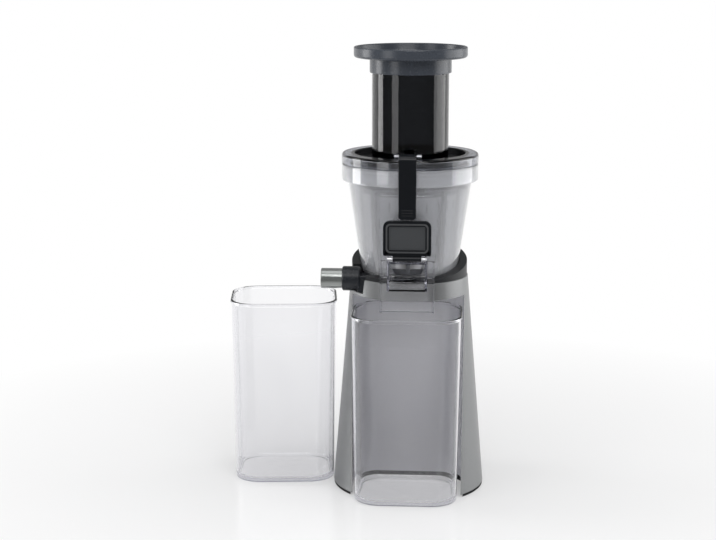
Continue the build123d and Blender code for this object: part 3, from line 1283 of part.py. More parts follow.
def make_lock_arm():
    """Lever hinged on the lid that comes down between the two ribs of the bowl's collar."""
    half = LOCK_W / 2
    arm = side_plate(lock_side(), -half, half)
    arm += crosswise(LOCK_EYE_R - LOCK_EYE_DRAW, half, LOCK_Y, LOCK_Z)
    face = RectangleRounded(LOCK_W, 2 * CUT, LOCK_TIP_R)
    limit = extrude(Plane.XZ * face, amount=2 * BOWL_COLLAR_R, dir=(0, -1, 0))
    limit = Pos(0, 0, LOCK_BOTTOM_Z + CUT) * limit
    return (arm & limit) - crosswise(LOCK_PIN_R + RUN, CUT, LOCK_Y, LOCK_Z)


def make_lock_pin():
    """Steel pin through the lid's lugs and the lock arm."""
    return crosswise(LOCK_PIN_R, LOCK_W / 2 + FREE + LOCK_LUG_W, LOCK_Y, LOCK_Z)


# ---------------------------------------------------------------- jugs
def jug_section(width, depth, corner, height):
    """Rounded rectangle at a height."""
    return Pos(0, 0, height) * RectangleRounded(width, depth, corner)


def make_jug(x, y, turn):
    """Clear jug: drawn in at its foot edge, tapered, with a narrow lip at the rim."""
    edge = 2 * JUG_FOOT_DRAW
    wall = 2 * JUG_WALL
    foot_w, foot_d = JUG_FOOT
    rim_w, rim_d = JUG_RIM
    foot = loft([
        jug_section(foot_w - edge, foot_d - edge, JUG_FOOT_R - edge / 2, 0),
        jug_section(foot_w, foot_d, JUG_FOOT_R, JUG_FOOT_EDGE),
    ], ruled=True)
    body = loft([
        jug_section(foot_w, foot_d, JUG_FOOT_R, JUG_FOOT_EDGE),
        jug_section(rim_w, rim_d, JUG_RIM_R, JUG_H),
    ], ruled=True)
    lip = Pos(0, 0, JUG_H - JUG_LIP_H) * extrude(
        RectangleRounded(rim_w + 2 * JUG_LIP_W, rim_d + 2 * JUG_LIP_W, JUG_RIM_R + JUG_LIP_W),
        amount=JUG_LIP_H,
    )
    room = loft([
        jug_section(foot_w - wall, foot_d - wall, JUG_FOOT_R - JUG_WALL, JUG_FLOOR),
        jug_section(rim_w - wall, rim_d - wall, JUG_RIM_R - JUG_WALL, JUG_H),
    ], ruled=True)
    return Pos(x, y, 0) * Rot(0, 0, turn) * (foot + body + lip - room)


# ---------------------------------------------------------------- all nodes
def nodes():
    """Every node of the juicer with its solids."""
    return {
        "base_shell": make_base_shell(),
        "niche_liner": make_niche_liner(),
        "base_plate": make_base_plate(),
        "foot_ring": make_foot_ring(),
        "base_screws": make_base_screws(),
        "gear_case": make_gear_case(),
        "thrust_washer": make_thrust_washer(),
        "output_bearing": make_output_bearing(),
        "shaft_seal": make_shaft_seal(),
        "deck_plate": make_deck_plate(),
        "deck_screws": make_deck_screws(),
        "deck_collar": make_deck_collar(),
        "gearhead": make_gearhead(),
        "motor_can": make_motor_can(),
        "motor_cap": make_motor_cap(),
        "control_board": make_control_board(),
        "board_parts": make_board_parts(),
        "reed_switch": make_reed_switch(),
        "switch_bezel": make_switch_bezel(),
        "switch_rocker": make_switch_rocker(),
        "cord_gland": make_cord_gland(),
        "output_gear": make_output_gear(),
        "drive_shaft": make_drive_shaft(),
        "pinion": make_pinion(),
        "pinion_shaft": make_pinion_shaft(),
        "bowl": make_bowl(),
        "bowl_seal": make_bowl_seal(),
        "bowl_magnet": make_bowl_magnet(),
        "juice_spout": make_juice_spout(),
        "drip_guard": make_drip_guard(),
        "cap_pin": make_cap_pin(),
        "spout_cap": make_spout_cap(),
        "cap_seal": make_cap_seal(),
        "pulp_chute": make_pulp_chute(),
        "pulp_tube": make_pulp_tube(),
        "strainer_frame": make_strainer_frame(),
        "strainer_mesh": make_strainer_mesh(),
        "auger": make_auger(),
        "lid_ring": make_lid_ring(),
        "lid_seal": make_lid_seal(),
        "feed_tube": make_feed_tube(),
        "tube_spider": make_tube_spider(),
        "auger_bush": make_auger_bush(),
        "hopper_tray": make_hopper_tray(),
        "lock_arm": make_lock_arm(),
        "lock_pin": make_lock_pin(),
        "juice_jug": make_jug(JUICE_JUG_X, JUICE_JUG_Y, 0.0),
        "pulp_jug": make_jug(PULP_JUG_X, PULP_JUG_Y, PULP_JUG_TURN),
    }


def write_parts():
    """One STEP file for each node."""
    os.makedirs("parts", exist_ok=True)
    for name, shape in nodes().items():
        if isinstance(shape, list):
            shape = Compound(children=[solid for piece in shape for solid in piece.solids()])
        export_step(shape, f"parts/{name}.step")


write_parts()
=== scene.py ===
"""Looks of the cold press juicer: finishes, modelled pieces and the studio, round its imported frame.

Lengths in the dataclasses are millimetres, as a maker would write them, and MM turns them into metres. Only
the finishes, which work on coordinates in metres, have their sizes in metres too.
"""

import json
import logging
import math
from dataclasses import dataclass, field
from enum import Enum
from typing import Callable, Iterable, Protocol, Sequence

import bmesh
import bpy
from mathutils import Matrix, Vector

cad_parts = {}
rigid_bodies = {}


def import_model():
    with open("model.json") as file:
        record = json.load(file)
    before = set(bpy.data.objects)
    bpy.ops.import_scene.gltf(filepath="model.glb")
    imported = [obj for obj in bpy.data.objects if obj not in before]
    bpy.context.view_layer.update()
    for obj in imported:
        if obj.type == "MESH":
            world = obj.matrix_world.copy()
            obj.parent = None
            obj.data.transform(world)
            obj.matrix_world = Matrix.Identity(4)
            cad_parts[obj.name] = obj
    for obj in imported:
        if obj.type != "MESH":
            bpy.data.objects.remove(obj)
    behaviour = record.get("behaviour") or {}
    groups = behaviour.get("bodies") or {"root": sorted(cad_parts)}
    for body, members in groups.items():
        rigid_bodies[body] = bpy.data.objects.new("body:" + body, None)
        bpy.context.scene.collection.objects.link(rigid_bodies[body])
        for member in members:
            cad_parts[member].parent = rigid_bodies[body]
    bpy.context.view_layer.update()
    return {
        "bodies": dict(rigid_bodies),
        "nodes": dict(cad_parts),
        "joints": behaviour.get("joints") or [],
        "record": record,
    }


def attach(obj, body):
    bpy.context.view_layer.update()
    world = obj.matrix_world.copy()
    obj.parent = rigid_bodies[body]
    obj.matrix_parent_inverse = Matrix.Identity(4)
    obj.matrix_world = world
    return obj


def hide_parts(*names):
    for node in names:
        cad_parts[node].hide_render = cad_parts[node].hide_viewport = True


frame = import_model()

LOG = logging.getLogger("juicer")
MM = 0.001

# Corners closer than this, in metres, are merged.
MERGE = 0.000002
# Cutting tools run this far past the faces that they open.
PAST = 1.0
# Selections take what lies this close to the place that they name.
NEAR = 0.1

# Places where sub-assemblies meet: (y, z) of the hinges and of the pulp outlet's axis, and the rest by name.
LOCK_HINGE = (-54.6, 324.2)
CAP_HINGE = (-67.0, 232.0)
PULP_AXIS = (-25.5, 205.0)
PULP_PORT_R = 4.5
PULP_PORT = (-23.9, -23.9)
PULP_NOTCH_Y = (-37.7, -13.3)
COLLAR_R = 64.2
POST_ANGLES = (-22.0, 38.0, 142.0, 202.0)
SWITCH_UP = 40.0

Colour = tuple[float, float, float]
Point = tuple[float, float, float]


# ------------------------------------------------------------------ shader tools
class Value:
    """A node socket that Python's arithmetic works on."""

    def __init__(self, tree: "Tree", socket: bpy.types.NodeSocket) -> None:
        """Wrap one output socket of a tree."""
        self.tree = tree
        self.socket = socket

    def _with(self, operation: str, first: object, second: object) -> "Value":
        """Add one Math node over two values."""
        node = self.tree.node("ShaderNodeMath", {"operation": operation}, {0: first, 1: second})
        return Value(self.tree, node.outputs[0])

    def __add__(self, other: object) -> "Value":
        """Sum."""
        return self._with("ADD", self, other)

    def __radd__(self, other: object) -> "Value":
        """Sum, with the value on the right."""
        return self._with("ADD", other, self)

    def __sub__(self, other: object) -> "Value":
        """Difference."""
        return self._with("SUBTRACT", self, other)

    def __rsub__(self, other: object) -> "Value":
        """Difference, with the value on the right."""
        return self._with("SUBTRACT", other, self)

    def __mul__(self, other: object) -> "Value":
        """Product."""
        return self._with("MULTIPLY", self, other)

    def __rmul__(self, other: object) -> "Value":
        """Product, with the value on the right."""
        return self._with("MULTIPLY", other, self)

    def clamped(self) -> "Value":
        """The value kept between 0 and 1."""
        node = self.tree.node("ShaderNodeClamp", {}, {0: self})
        return Value(self.tree, node.outputs[0])


class Tree:
    """Node tree of one material or of the world."""

    def __init__(self, nodes: bpy.types.NodeTree) -> None:
        """Take a tree over and empty it."""
        self.nodes = nodes
        self.nodes.nodes.clear()

    def node(self, kind: str, settings: dict | None = None, inputs: dict | None = None) -> bpy.types.Node:
        """Add one node.

        Args:
            kind: Blender's name of the node's type.
            settings: attributes to set before the inputs.
            inputs: socket name or number to a number, a colour, a Value or a socket.

        Returns:
            The new node.
        """
        made = self.nodes.nodes.new(kind)
        for key, value in (settings or {}).items():
            setattr(made, key, value)
        for key, value in (inputs or {}).items():
            if isinstance(value, Value):
                value = value.socket
            if isinstance(value, bpy.types.NodeSocket):
                self.nodes.links.new(value, made.inputs[key])
            else:
                made.inputs[key].default_value = value
        return made

    def place(self, stretch: Point = (1.0, 1.0, 1.0)) -> bpy.types.NodeSocket:
        """Object coordinates in metres, stretched along each axis.

        Args:
            stretch: how much denser a pattern gets along each axis.

        Returns:
            The coordinates' socket.
        """
        here = self.node("ShaderNodeTexCoord").outputs["Object"]
        if stretch == (1.0, 1.0, 1.0):
            return here
        mapping = self.node("ShaderNodeMapping", {}, {"Vector": here, "Scale": stretch})
        return mapping.outputs["Vector"]

    def noise(self, scale: float, detail: float = 2.0, stretch: Point = (1.0, 1.0, 1.0)) -> Value:
        """Noise between 0 and 1, with its scale in cells per metre."""
        inputs = {"Vector": self.place(stretch), "Scale": scale, "Detail": detail}
        return Value(self, self.node("ShaderNodeTexNoise", {}, inputs).outputs[0])

    def flakes(self, scale: float) -> Value:
        """Random level of each cell of a fine cell pattern.

        Args:
            scale: cells per metre.

        Returns:
            A level between 0 and 1, the same all over a cell.
        """
        inputs = {"Vector": self.place(), "Scale": scale}
        colour = self.node("ShaderNodeTexVoronoi", {}, inputs).outputs["Color"]
        split = self.node("ShaderNodeSeparateColor", {}, {0: colour})
        return Value(self, split.outputs[0])

    def blend(self, share: Value, low: Colour, high: Colour) -> bpy.types.NodeSocket:
        """Colour between two colours."""
        inputs = {0: share, 6: (*low, 1.0), 7: (*high, 1.0)}
        return self.node("ShaderNodeMix", {"data_type": "RGBA"}, inputs).outputs[2]

    def bump(self, height: Value, depth: float, strength: float = 1.0) -> bpy.types.NodeSocket:
        """Normal of a relief whose depth is in metres."""
        inputs = {"Height": height, "Distance": depth, "Strength": strength}
        return self.node("ShaderNodeBump", {}, inputs).outputs["Normal"]


def tone(colour: Colour, share: float) -> Colour:
    """A colour made lighter or darker by a share."""
    return tuple(min(1.0, max(0.0, channel * (1.0 + share))) for channel in colour)


# ------------------------------------------------------------------ finishes
@dataclass(frozen=True)
class Finish:
    """What every finish has: a name, a colour and a gloss.

    A pattern's scale is in cells per metre, a depth is in metres and a tone is a share of the colour.
    """

    name: str
    colour: Colour
    roughness: float
    grade: str = field(default="", kw_only=True)

    def material(self) -> bpy.types.Material:
        """The finish's material, made once and shared by its pieces.

        Returns:
            The material.
        """
        label = f"{self.name}{self.grade}_finish"
        found = bpy.data.materials.get(label)
        if found:
            return found
        material = bpy.data.materials.new(label)
        material.use_nodes = True
        tree = Tree(material.node_tree)
        shader = tree.node("ShaderNodeBsdfPrincipled", {}, self.sockets(tree))
        output = {"Surface": shader.outputs[0]} | self.inside(tree)
        tree.node("ShaderNodeOutputMaterial", {}, output)
        return material

    def inside(self, tree: Tree) -> dict:
        """What fills the piece behind its surface: nothing, unless a finish says so."""
        return {}

    def mottled(self, pattern: Value, darker: float, lighter: float) -> bpy.types.NodeSocket:
        """The finish's colour, from darker to lighter over a pattern."""
        return pattern.tree.blend(pattern, tone(self.colour, -darker), tone(self.colour, lighter))

    def rubbed(self, *swings: tuple[Value, float], middle: float = 0.5) -> Value:
        """The finish's roughness with patterns on it.

        Args:
            swings: pairs of a pattern and how far it swings the roughness.
            middle: level of a pattern that leaves the roughness as it is.

        Returns:
            Roughness between 0 and 1.
        """
        rough: float | Value = self.roughness
        for pattern, swing in swings:
            rough = rough + (pattern - middle) * swing
        return rough.clamped()

    def sockets(self, tree: Tree) -> dict:
        """Values and links of the shader's sockets.

        Args:
            tree: the material's tree, where the finish adds its pattern nodes.

        Returns:
            Socket name to value or link.
        """
        raise NotImplementedError


@dataclass(frozen=True)
class MouldedPlastic(Finish):
    """Opaque plastic with the fine grain of its mould and faint flow marks."""

    grain: float = 1500.0
    grain_depth: float = 0.00002
    grain_rub: float = 0.08
    flow: float = 18.0
    flow_drawn: Point = (1.0, 1.0, 0.35)
    flow_tone: float = 0.12
    flow_rub: float = 0.12
    specular: float = 0.4

    def sockets(self, tree: Tree) -> dict:
        """Grain in the relief, flow marks in colour and gloss.

        Args:
            tree: the material's tree.

        Returns:
            Socket name to value or link.
        """
        flow = tree.noise(self.flow, 3.0, self.flow_drawn)
        grain = tree.noise(self.grain, 1.0)
        return {
            "Base Color": self.mottled(flow, self.flow_tone, self.flow_tone),
            "Roughness": self.rubbed((flow, self.flow_rub), (grain, self.grain_rub)),
            "Specular IOR Level": self.specular,
            "Normal": tree.bump(grain, self.grain_depth),
        }


@dataclass(frozen=True)
class PolishedPlastic(Finish):
    """Opaque polished plastic with a slight waviness and rubbed spots."""

    specular: float = 0.35
    coat: float = 0.0
    coat_roughness: float = 0.08
    metal: float = 0.0
    wave: float = 45.0
    wave_depth: float = 0.00025
    wave_tone: float = 0.08
    rub: float = 260.0
    rub_swing: float = 0.10
    rub_middle: float = 0.45

    def sockets(self, tree: Tree) -> dict:
        """Rubbed spots in the gloss, shrinkage waves in the relief.

        Args:
            tree: the material's tree.

        Returns:
            Socket name to value or link.
        """
        wave = tree.noise(self.wave, 1.0)
        rub = tree.noise(self.rub, 4.0)
        return {
            "Base Color": self.mottled(wave, self.wave_tone, self.wave_tone),
            "Roughness": self.rubbed((rub, self.rub_swing), middle=self.rub_middle),
            "Metallic": self.metal,
            "Specular IOR Level": self.specular,
            "Coat Weight": self.coat,
            "Coat Roughness": self.coat_roughness,
            "Normal": tree.bump(wave, self.wave_depth),
        }


@dataclass(frozen=True)
class ClearPlastic(Finish):
    """Clear or smoked plastic that darkens with the way the light takes through its wall."""

    smoke: Colour = (0.8, 0.8, 0.85)
    density: float = 60.0
    through: float = 1.0
    index: float = 1.49
    haze: float = 0.03
    haze_size: float = 320.0
    wave: float = 28.0
    wave_drawn: Point = (1.0, 1.0, 0.4)
    wave_depth: float = 0.00008
    wave_tone: float = 0.03
    coat: float = 0.0
    coat_roughness: float = 0.03

    def sockets(self, tree: Tree) -> dict:
        """Waves of the mould in the relief, haze in the gloss.

        Args:
            tree: the material's tree.

        Returns:
            Socket name to value or link.
        """
        wave = tree.noise(self.wave, 1.0, self.wave_drawn)
        haze = tree.noise(self.haze_size, 3.0)
        return {
            "Base Color": self.mottled(wave, self.wave_tone, self.wave_tone),
            "Roughness": self.rubbed((haze, self.haze), middle=0.0),
            "IOR": self.index,
            "Transmission Weight": self.through,
            "Coat Weight": self.coat,
            "Coat Roughness": self.coat_roughness,
            "Normal": tree.bump(wave, self.wave_depth),
        }

    def inside(self, tree: Tree) -> dict:
        """Smoke of the plastic itself, with its density per metre."""
        inputs = {"Color": (*self.smoke, 1.0), "Density": self.density}
        return {"Volume": tree.node("ShaderNodeVolumeAbsorption", {}, inputs).outputs[0]}


@dataclass(frozen=True)
class MetallicPaint(Finish):
    """Satin paint with metal flakes below a thin clear coat."""

    metal: float = 0.6
    flake_size: float = 0.0004
    flake_share: float = 0.55
    flake_depth: float = 0.000012
    spray: float = 35.0
    spray_tone: float = 0.10
    spray_rub: float = 0.10
    coat: float = 0.25
    coat_roughness: float = 0.18

    def sockets(self, tree: Tree) -> dict:
        """Flakes in colour and relief, a cloudy spray pattern in the gloss.

        Args:
            tree: the material's tree.

        Returns:
            Socket name to value or link.
        """
        flake = tree.flakes(1.0 / self.flake_size)
        spray = tree.noise(self.spray, 4.0)
        mix = (flake * self.flake_share + spray * (1.0 - self.flake_share)).clamped()
        return {
            "Base Color": self.mottled(mix, self.spray_tone, self.spray_tone),
            "Metallic": self.metal,
            "Roughness": self.rubbed((spray, self.spray_rub)),
            "Coat Weight": self.coat,
            "Coat Roughness": self.coat_roughness,
            "Normal": tree.bump(flake, self.flake_depth),
        }


@dataclass(frozen=True)
class BareMetal(Finish):
    """Machined or pressed metal with fine tool lines along one axis."""

    lines: float = 90.0
    lines_drawn: Point = (1.0, 1.0, 40.0)
    line_depth: float = 0.00001
    line_rub: float = 0.16
    stain: float = 60.0
    stain_tones: tuple[float, float] = (0.10, 0.08)

    def sockets(self, tree: Tree) -> dict:
        """Tool lines in the gloss and relief, faint stains in the colour.

        Args:
            tree: the material's tree.

        Returns:
            Socket name to value or link.
        """
        lines = tree.noise(self.lines, 2.0, self.lines_drawn)
        stain = tree.noise(self.stain, 3.0)
        return {
            "Base Color": self.mottled(stain, *self.stain_tones),
            "Metallic": 1.0,
            "Roughness": self.rubbed((lines, self.line_rub)),
            "Normal": tree.bump(lines, self.line_depth),
        }


@dataclass(frozen=True)
class SoftRubber(Finish):
    """Matt rubber or silicone with a dusty bloom."""

    bloom: float = 140.0
    bloom_tones: tuple[float, float] = (0.15, 0.25)
    bloom_rub: float = 0.15
    skin: float = 2200.0
    skin_depth: float = 0.00002
    specular: float = 0.3

    def sockets(self, tree: Tree) -> dict:
        """Bloom in the colour, a fine skin in the relief.

        Args:
            tree: the material's tree.

        Returns:
            Socket name to value or link.
        """
        bloom = tree.noise(self.bloom, 4.0)
        skin = tree.noise(self.skin, 1.0)
        return {
            "Base Color": self.mottled(bloom, *self.bloom_tones),
            "Roughness": self.rubbed((bloom, self.bloom_rub)),
            "Specular IOR Level": self.specular,
            "Normal": tree.bump(skin, self.skin_depth),
        }


class Palette(Enum):
    """Every finish of the juicer."""

    HOUSING = MetallicPaint("housing_silver", (0.225, 0.23, 0.233), 0.4)
    FRAME = MouldedPlastic("frame_grey", (0.84, 0.84, 0.87), 0.45)
    BLACK = MouldedPlastic("black_moulding", (0.012, 0.013, 0.015), 0.42, specular=0.3)
    FOOT = SoftRubber("foot_rubber", (0.018, 0.018, 0.019), 0.8)
    SCREW = BareMetal("screw_steel", (0.62, 0.62, 0.64), 0.28)
    BRONZE = BareMetal("bush_bronze", (0.62, 0.42, 0.22), 0.35)
    GROUND = BareMetal("machined_steel", (0.6, 0.6, 0.62), 0.22)
    PLATED = BareMetal("motor_steel", (0.5, 0.5, 0.52), 0.38)
    BOARD = PolishedPlastic("board_green", (0.02, 0.13, 0.06), 0.3)
    BOARD_PARTS = MouldedPlastic("board_parts", (0.06, 0.06, 0.07), 0.45)
    ROCKER = PolishedPlastic("rocker_black", (0.012, 0.012, 0.013), 0.2)
    NYLON = MouldedPlastic("gear_nylon", (0.74, 0.72, 0.66), 0.45)
    MAGNET = BareMetal("magnet_steel", (0.7, 0.7, 0.72), 0.15)
    SILICONE = SoftRubber("silicone_grey", (0.05, 0.052, 0.055), 0.6)
    SMOKE = ClearPlastic("smoke_clear", (0.76, 0.77, 0.80), 0.13, smoke=(0.45, 0.46, 0.49), density=70.0,
                         through=0.74, coat=1.0)
    SMOKE_LID = ClearPlastic("smoke_clear", (0.82, 0.83, 0.86), 0.04, smoke=(0.40, 0.41, 0.45), density=120.0,
                             grade="_lid")
    SMOKE_DARK = ClearPlastic("smoke_black", (0.55, 0.57, 0.60), 0.03, smoke=(0.08, 0.09, 0.11),
                              density=800.0)
    CLEAR = ClearPlastic("clear", (0.985, 0.985, 0.99), 0.0, smoke=(0.50, 0.50, 0.62), density=36.0,
                         haze=0.02)
    # Painted shade: the lid ring's bore faces get a near-black, low-gloss copy of the lid's smoke, so the
    # lid's recess reads dark.
    LID_BORE = PolishedPlastic("smoke_clear", (0.012, 0.013, 0.015), 0.3, specular=0.1, grade="_bore_painted_shade")
    # Painted shade: the feed tube's flange, down in the lid's recess, gets an opaque, low-gloss black copy of
    # the tube's smoke.
    FLANGE = PolishedPlastic("smoke_black", (0.012, 0.013, 0.015), 0.3, specular=0.1, grade="_flange_painted_shade")
    # The cap's dish: a satin grain, and a lighter colour than the gloss black that paints the dish's sheen.
    CAP_FACE = MouldedPlastic("black_gloss", (0.045, 0.048, 0.052), 0.5, grade="_satin_painted_sheen")
    GLOSS_BLACK = PolishedPlastic("black_gloss", (0.007, 0.008, 0.010), 0.22, specular=0.25)
    TRAY = PolishedPlastic("tray_slate", (0.045, 0.052, 0.065), 0.26, specular=0.5)
    CHUTE = PolishedPlastic("chute_slate", (0.02, 0.022, 0.026), 0.26, specular=0.3)
    OUTLET = PolishedPlastic("outlet_grey", (0.30, 0.315, 0.305), 0.16, specular=0.8, coat=1.0, metal=0.7)
    SIEVE = BareMetal("sieve_steel", (0.55, 0.55, 0.56), 0.32)
    SIEVE_FRAME = MouldedPlastic("sieve_frame", (0.16, 0.165, 0.18), 0.4)
    SCREW_PLASTIC = MouldedPlastic("screw_plastic", (0.02, 0.02, 0.022), 0.38)


# ------------------------------------------------------------------ modelling by hand operators
class Element(Enum):
    """What a selection takes hold of."""

    CORNER = "VERT"
    EDGE = "EDGE"
    FACE = "FACE"


@dataclass(frozen=True)
class Corner:
    """Corner of a section: distance from the axis, height and rounding."""

    out: float
    up: float
    round: float = 0.0


def outline(corners: Sequence[Corner], steps: int = 4) -> list[tuple[float, float]]:
    """Closed section with its corners drawn as arcs.

    Args:
        corners: the section's corners, in order.
        steps: straight runs that one arc is drawn with.

    Returns:
        (distance from the axis, height) of each point of the section.
    """
    points = []
    for number, corner in enumerate(corners):
        here = Vector((corner.out, corner.up))
        if not corner.round:
            points.append((corner.out, corner.up))
            continue
        before, after = corners[number - 1], corners[(number + 1) % len(corners)]
        back = (Vector((before.out, before.up)) - here).normalized()
        on = (Vector((after.out, after.up)) - here).normalized()
        half = back.angle(on) / 2
        start = here + back * (corner.round / math.tan(half))
        middle = here + (back + on).normalized() * (corner.round / math.sin(half))
        sweep = (start - middle).angle_signed(here + on * (corner.round / math.tan(half)) - middle)
        for step in range(steps + 1):
            arm = Matrix.Rotation(-sweep * step / steps, 2) @ (start - middle)
            points.append(tuple(middle + arm))
    return points


class Bench:
    """A piece in the making, shaped in edit mode by the operators that a modeller uses."""

    def __init__(self, name: str) -> None:
        """Start a piece with an empty bench.

        Args:
            name: name of the piece.
        """
        self.name = name
        self.piece: bpy.types.Object | None = None
        self.centre = (0.0, 0.0)
        self.reach = (1.0, 1.0)
        self.level = 0.0
        if bpy.context.mode != "OBJECT":
            bpy.ops.object.mode_set(mode="OBJECT")
        bpy.ops.object.select_all(action="DESELECT")

    # -- starts
    def ring(self, radius: float, level: float, sides: int = 128, centre: tuple = (0.0, 0.0)) -> "Bench":
        """Lay a ring of edges.

        Args:
            radius: its radius.
            level: its height.
            sides: its edges.
            centre: its middle.

        Returns:
            The bench, for the next step.
        """
        place = (centre[0] * MM, centre[1] * MM, level * MM)
        bpy.ops.mesh.primitive_circle_add(vertices=sides, radius=radius * MM, location=place)
        return self._begin((radius, radius), level, centre)

    def slab(self, half_x: float, half_y: float, level: float, corner: float = 0.0,
             segments: int = 10, centre: tuple = (0.0, 0.0)) -> "Bench":
        """Lay a flat face with rounded corners.

        Args:
            half_x, half_y: half of the face's sides.
            level: its height.
            corner: rounding of its corners.
            segments: runs of one corner's arc.
            centre: its middle.

        Returns:
            The bench, for the next step.
        """
        place = (centre[0] * MM, centre[1] * MM, level * MM)
        bpy.ops.mesh.primitive_plane_add(size=2 * MM, location=place)
        self._begin((half_x, half_y), level, centre)
        bpy.ops.transform.resize(value=(half_x, half_y, 1.0), center_override=place)
        if corner:
            bpy.ops.mesh.bevel(offset=corner * MM, segments=segments, affect="VERTICES")
        return self

    def _begin(self, reach: tuple, level: float, centre: tuple) -> "Bench":
        """Take the new primitive onto the bench, with its place in its mesh.

        Args:
            reach: half of the start's width and depth.
            level: its height.
            centre: its middle.

        Returns:
            The bench, for the next step.
        """
        self.piece = bpy.context.object
        self.piece.name = self.name
        self.piece.data.name = self.name
        bpy.ops.object.transform_apply(location=True, rotation=True, scale=True)
        self.reach, self.level, self.centre = reach, level, centre
        bpy.ops.object.mode_set(mode="EDIT")
        bpy.ops.mesh.select_mode(type="VERT")
        bpy.ops.mesh.select_all(action="SELECT")
        return self

    # -- steps
    def step(self, half_x: float, half_y: float, level: float) -> "Bench":
        """Extrude the selected loop to a new size and height.

        Args:
            half_x, half_y: half of the loop's new width and depth.
            level: its new height.

        Returns:
            The bench, for the next step.
        """
        bpy.ops.mesh.extrude_edges_move(
            TRANSFORM_OT_translate={"value": (0.0, 0.0, (level - self.level) * MM)})
        share = (half_x / self.reach[0], half_y / self.reach[1], 1.0)
        place = (self.centre[0] * MM, self.centre[1] * MM, level * MM)
        bpy.ops.transform.resize(value=share, center_override=place)
        self.reach, self.level = (half_x, half_y), level
        return self

    def climb(self, section: Sequence[tuple[float, float]]) -> "Bench":
        """Extrude a ring through the (radius, height) points of a section.

        Args:
            section: the points, from the next one on.

        Returns:
            The bench, for the next step.
        """
        for radius, level in section:
            self.step(radius, radius, level)
        return self

    def bridge(self) -> "Bench":
        """Join the two open loops.

        Returns:
            The bench, for the next step.
        """
        bpy.ops.mesh.select_all(action="DESELECT")
        bpy.ops.mesh.select_non_manifold()
        bpy.ops.mesh.bridge_edge_loops()
        return self

    def fill(self) -> "Bench":
        """Close the open loops with faces.

        Returns:
            The bench, for the next step.
        """
        bpy.ops.mesh.select_all(action="DESELECT")
        bpy.ops.mesh.select_non_manifold()
        bpy.ops.mesh.fill_holes(sides=0)
        return self

    def pick(self, kind: Element, test: Callable[[Vector], bool]) -> "Bench":
        """Select what has its middle, in millimetres, where a test says.

        Args:
            kind: corners, edges or faces.
            test: says whether a place counts.

        Returns:
            The bench, for the next step.
        """
        bpy.ops.mesh.select_mode(type=kind.value)
        bpy.ops.mesh.select_all(action="DESELECT")
        mesh = bmesh.from_edit_mesh(self.piece.data)
        for element in self._elements(mesh, kind):
            places = [element.co] if kind is Element.CORNER else [corner.co for corner in element.verts]
            middle = sum(places, Vector()) / len(places) / MM
            element.select_set(test(middle))
        mesh.select_flush_mode()
        bmesh.update_edit_mesh(self.piece.data)
        return self

    @staticmethod
    def _elements(mesh: bmesh.types.BMesh, kind: Element) -> Iterable:
        """Corners, edges or faces of a mesh."""
        return {Element.CORNER: mesh.verts, Element.EDGE: mesh.edges, Element.FACE: mesh.faces}[kind]

    def raise_faces(self, along: Point, scale: float = 1.0) -> "Bench":
        """Extrude the selected faces by a way in millimetres, then scale them about their middle.

        Args:
            along: the way.
            scale: their size after it.

        Returns:
            The bench, for the next step.
        """
        bpy.ops.mesh.extrude_region_move(
            TRANSFORM_OT_translate={"value": tuple(part * MM for part in along)})
        if scale != 1.0:
            bpy.ops.transform.resize(value=(scale, scale, scale))
        return self

    def inset(self, width: float) -> "Bench":
        """Inset the selected faces."""
        bpy.ops.mesh.inset(thickness=width * MM)
        return self

    def bevel(self, width: float, segments: int = 3, corners: bool = False) -> "Bench":
        """Bevel the selected edges or corners."""
        bpy.ops.mesh.bevel(offset=width * MM, segments=segments, affect="VERTICES" if corners else "EDGES")
        return self

    def shift(self, along: Point) -> "Bench":
        """Move what is selected by a way in millimetres."""
        bpy.ops.transform.translate(value=tuple(part * MM for part in along))
        return self

    def slice(self, place: Point, normal: Point, take: bool = True) -> "Bench":
        """Cut through the piece along a plane.

        Args:
            place: a point of the plane, in millimetres.
            normal: the way the plane faces.
            take: take away what lies before the plane, and leave the cut open.

        Returns:
            The bench, for the next step.
        """
        self.object_mode()
        bpy.ops.object.mode_set(mode="EDIT")
        bpy.ops.mesh.select_all(action="SELECT")
        point = tuple(part * MM for part in place)
        facing = Vector(normal).normalized()
        bpy.ops.mesh.bisect(plane_co=point, plane_no=facing, use_fill=False, clear_outer=take)
        return self

    # -- finishing
    def object_mode(self) -> bpy.types.Object:
        """Leave edit mode with the piece alone selected.

        Returns:
            The piece.
        """
        if bpy.context.mode != "OBJECT":
            bpy.ops.object.mode_set(mode="OBJECT")
        bpy.ops.object.select_all(action="DESELECT")
        bpy.context.view_layer.objects.active = self.piece
        self.piece.select_set(True)
        return self.piece

    def tidy(self) -> "Bench":
        """Merge doubles and turn all faces outwards.

        Returns:
            The bench, for the next step.
        """
        self.object_mode()
        bpy.ops.object.mode_set(mode="EDIT")
        bpy.ops.mesh.select_all(action="SELECT")
        bpy.ops.mesh.remove_doubles(threshold=MERGE)
        bpy.ops.mesh.normals_make_consistent(inside=False)
        self.object_mode()
        return self

    def modify(self, kind: str, **settings: object) -> "Bench":
        """Add a modifier with its settings and apply it.

        Args:
            kind: Blender's name of the modifier's type.
            settings: attributes of the modifier.

        Returns:
            The bench, for the next step.
        """
        piece = self.object_mode()
        modifier = piece.modifiers.new(kind.lower(), kind)
        for key, value in settings.items():
            setattr(modifier, key, value)
        bpy.ops.object.modifier_apply(modifier=modifier.name)
        return self

    def wall(self, thickness: float) -> "Bench":
        """Give a sheet its thickness, behind its outer face."""
        return self.modify("SOLIDIFY", thickness=thickness * MM, offset=-1.0, use_even_offset=True)

    def soften(self, width: float, segments: int = 3, angle: float = 40.0) -> "Bench":
        """Round the edges that are sharper than an angle."""
        return self.modify("BEVEL", width=width * MM, segments=segments, limit_method="ANGLE",
                           angle_limit=math.radians(angle), use_clamp_overlap=True)

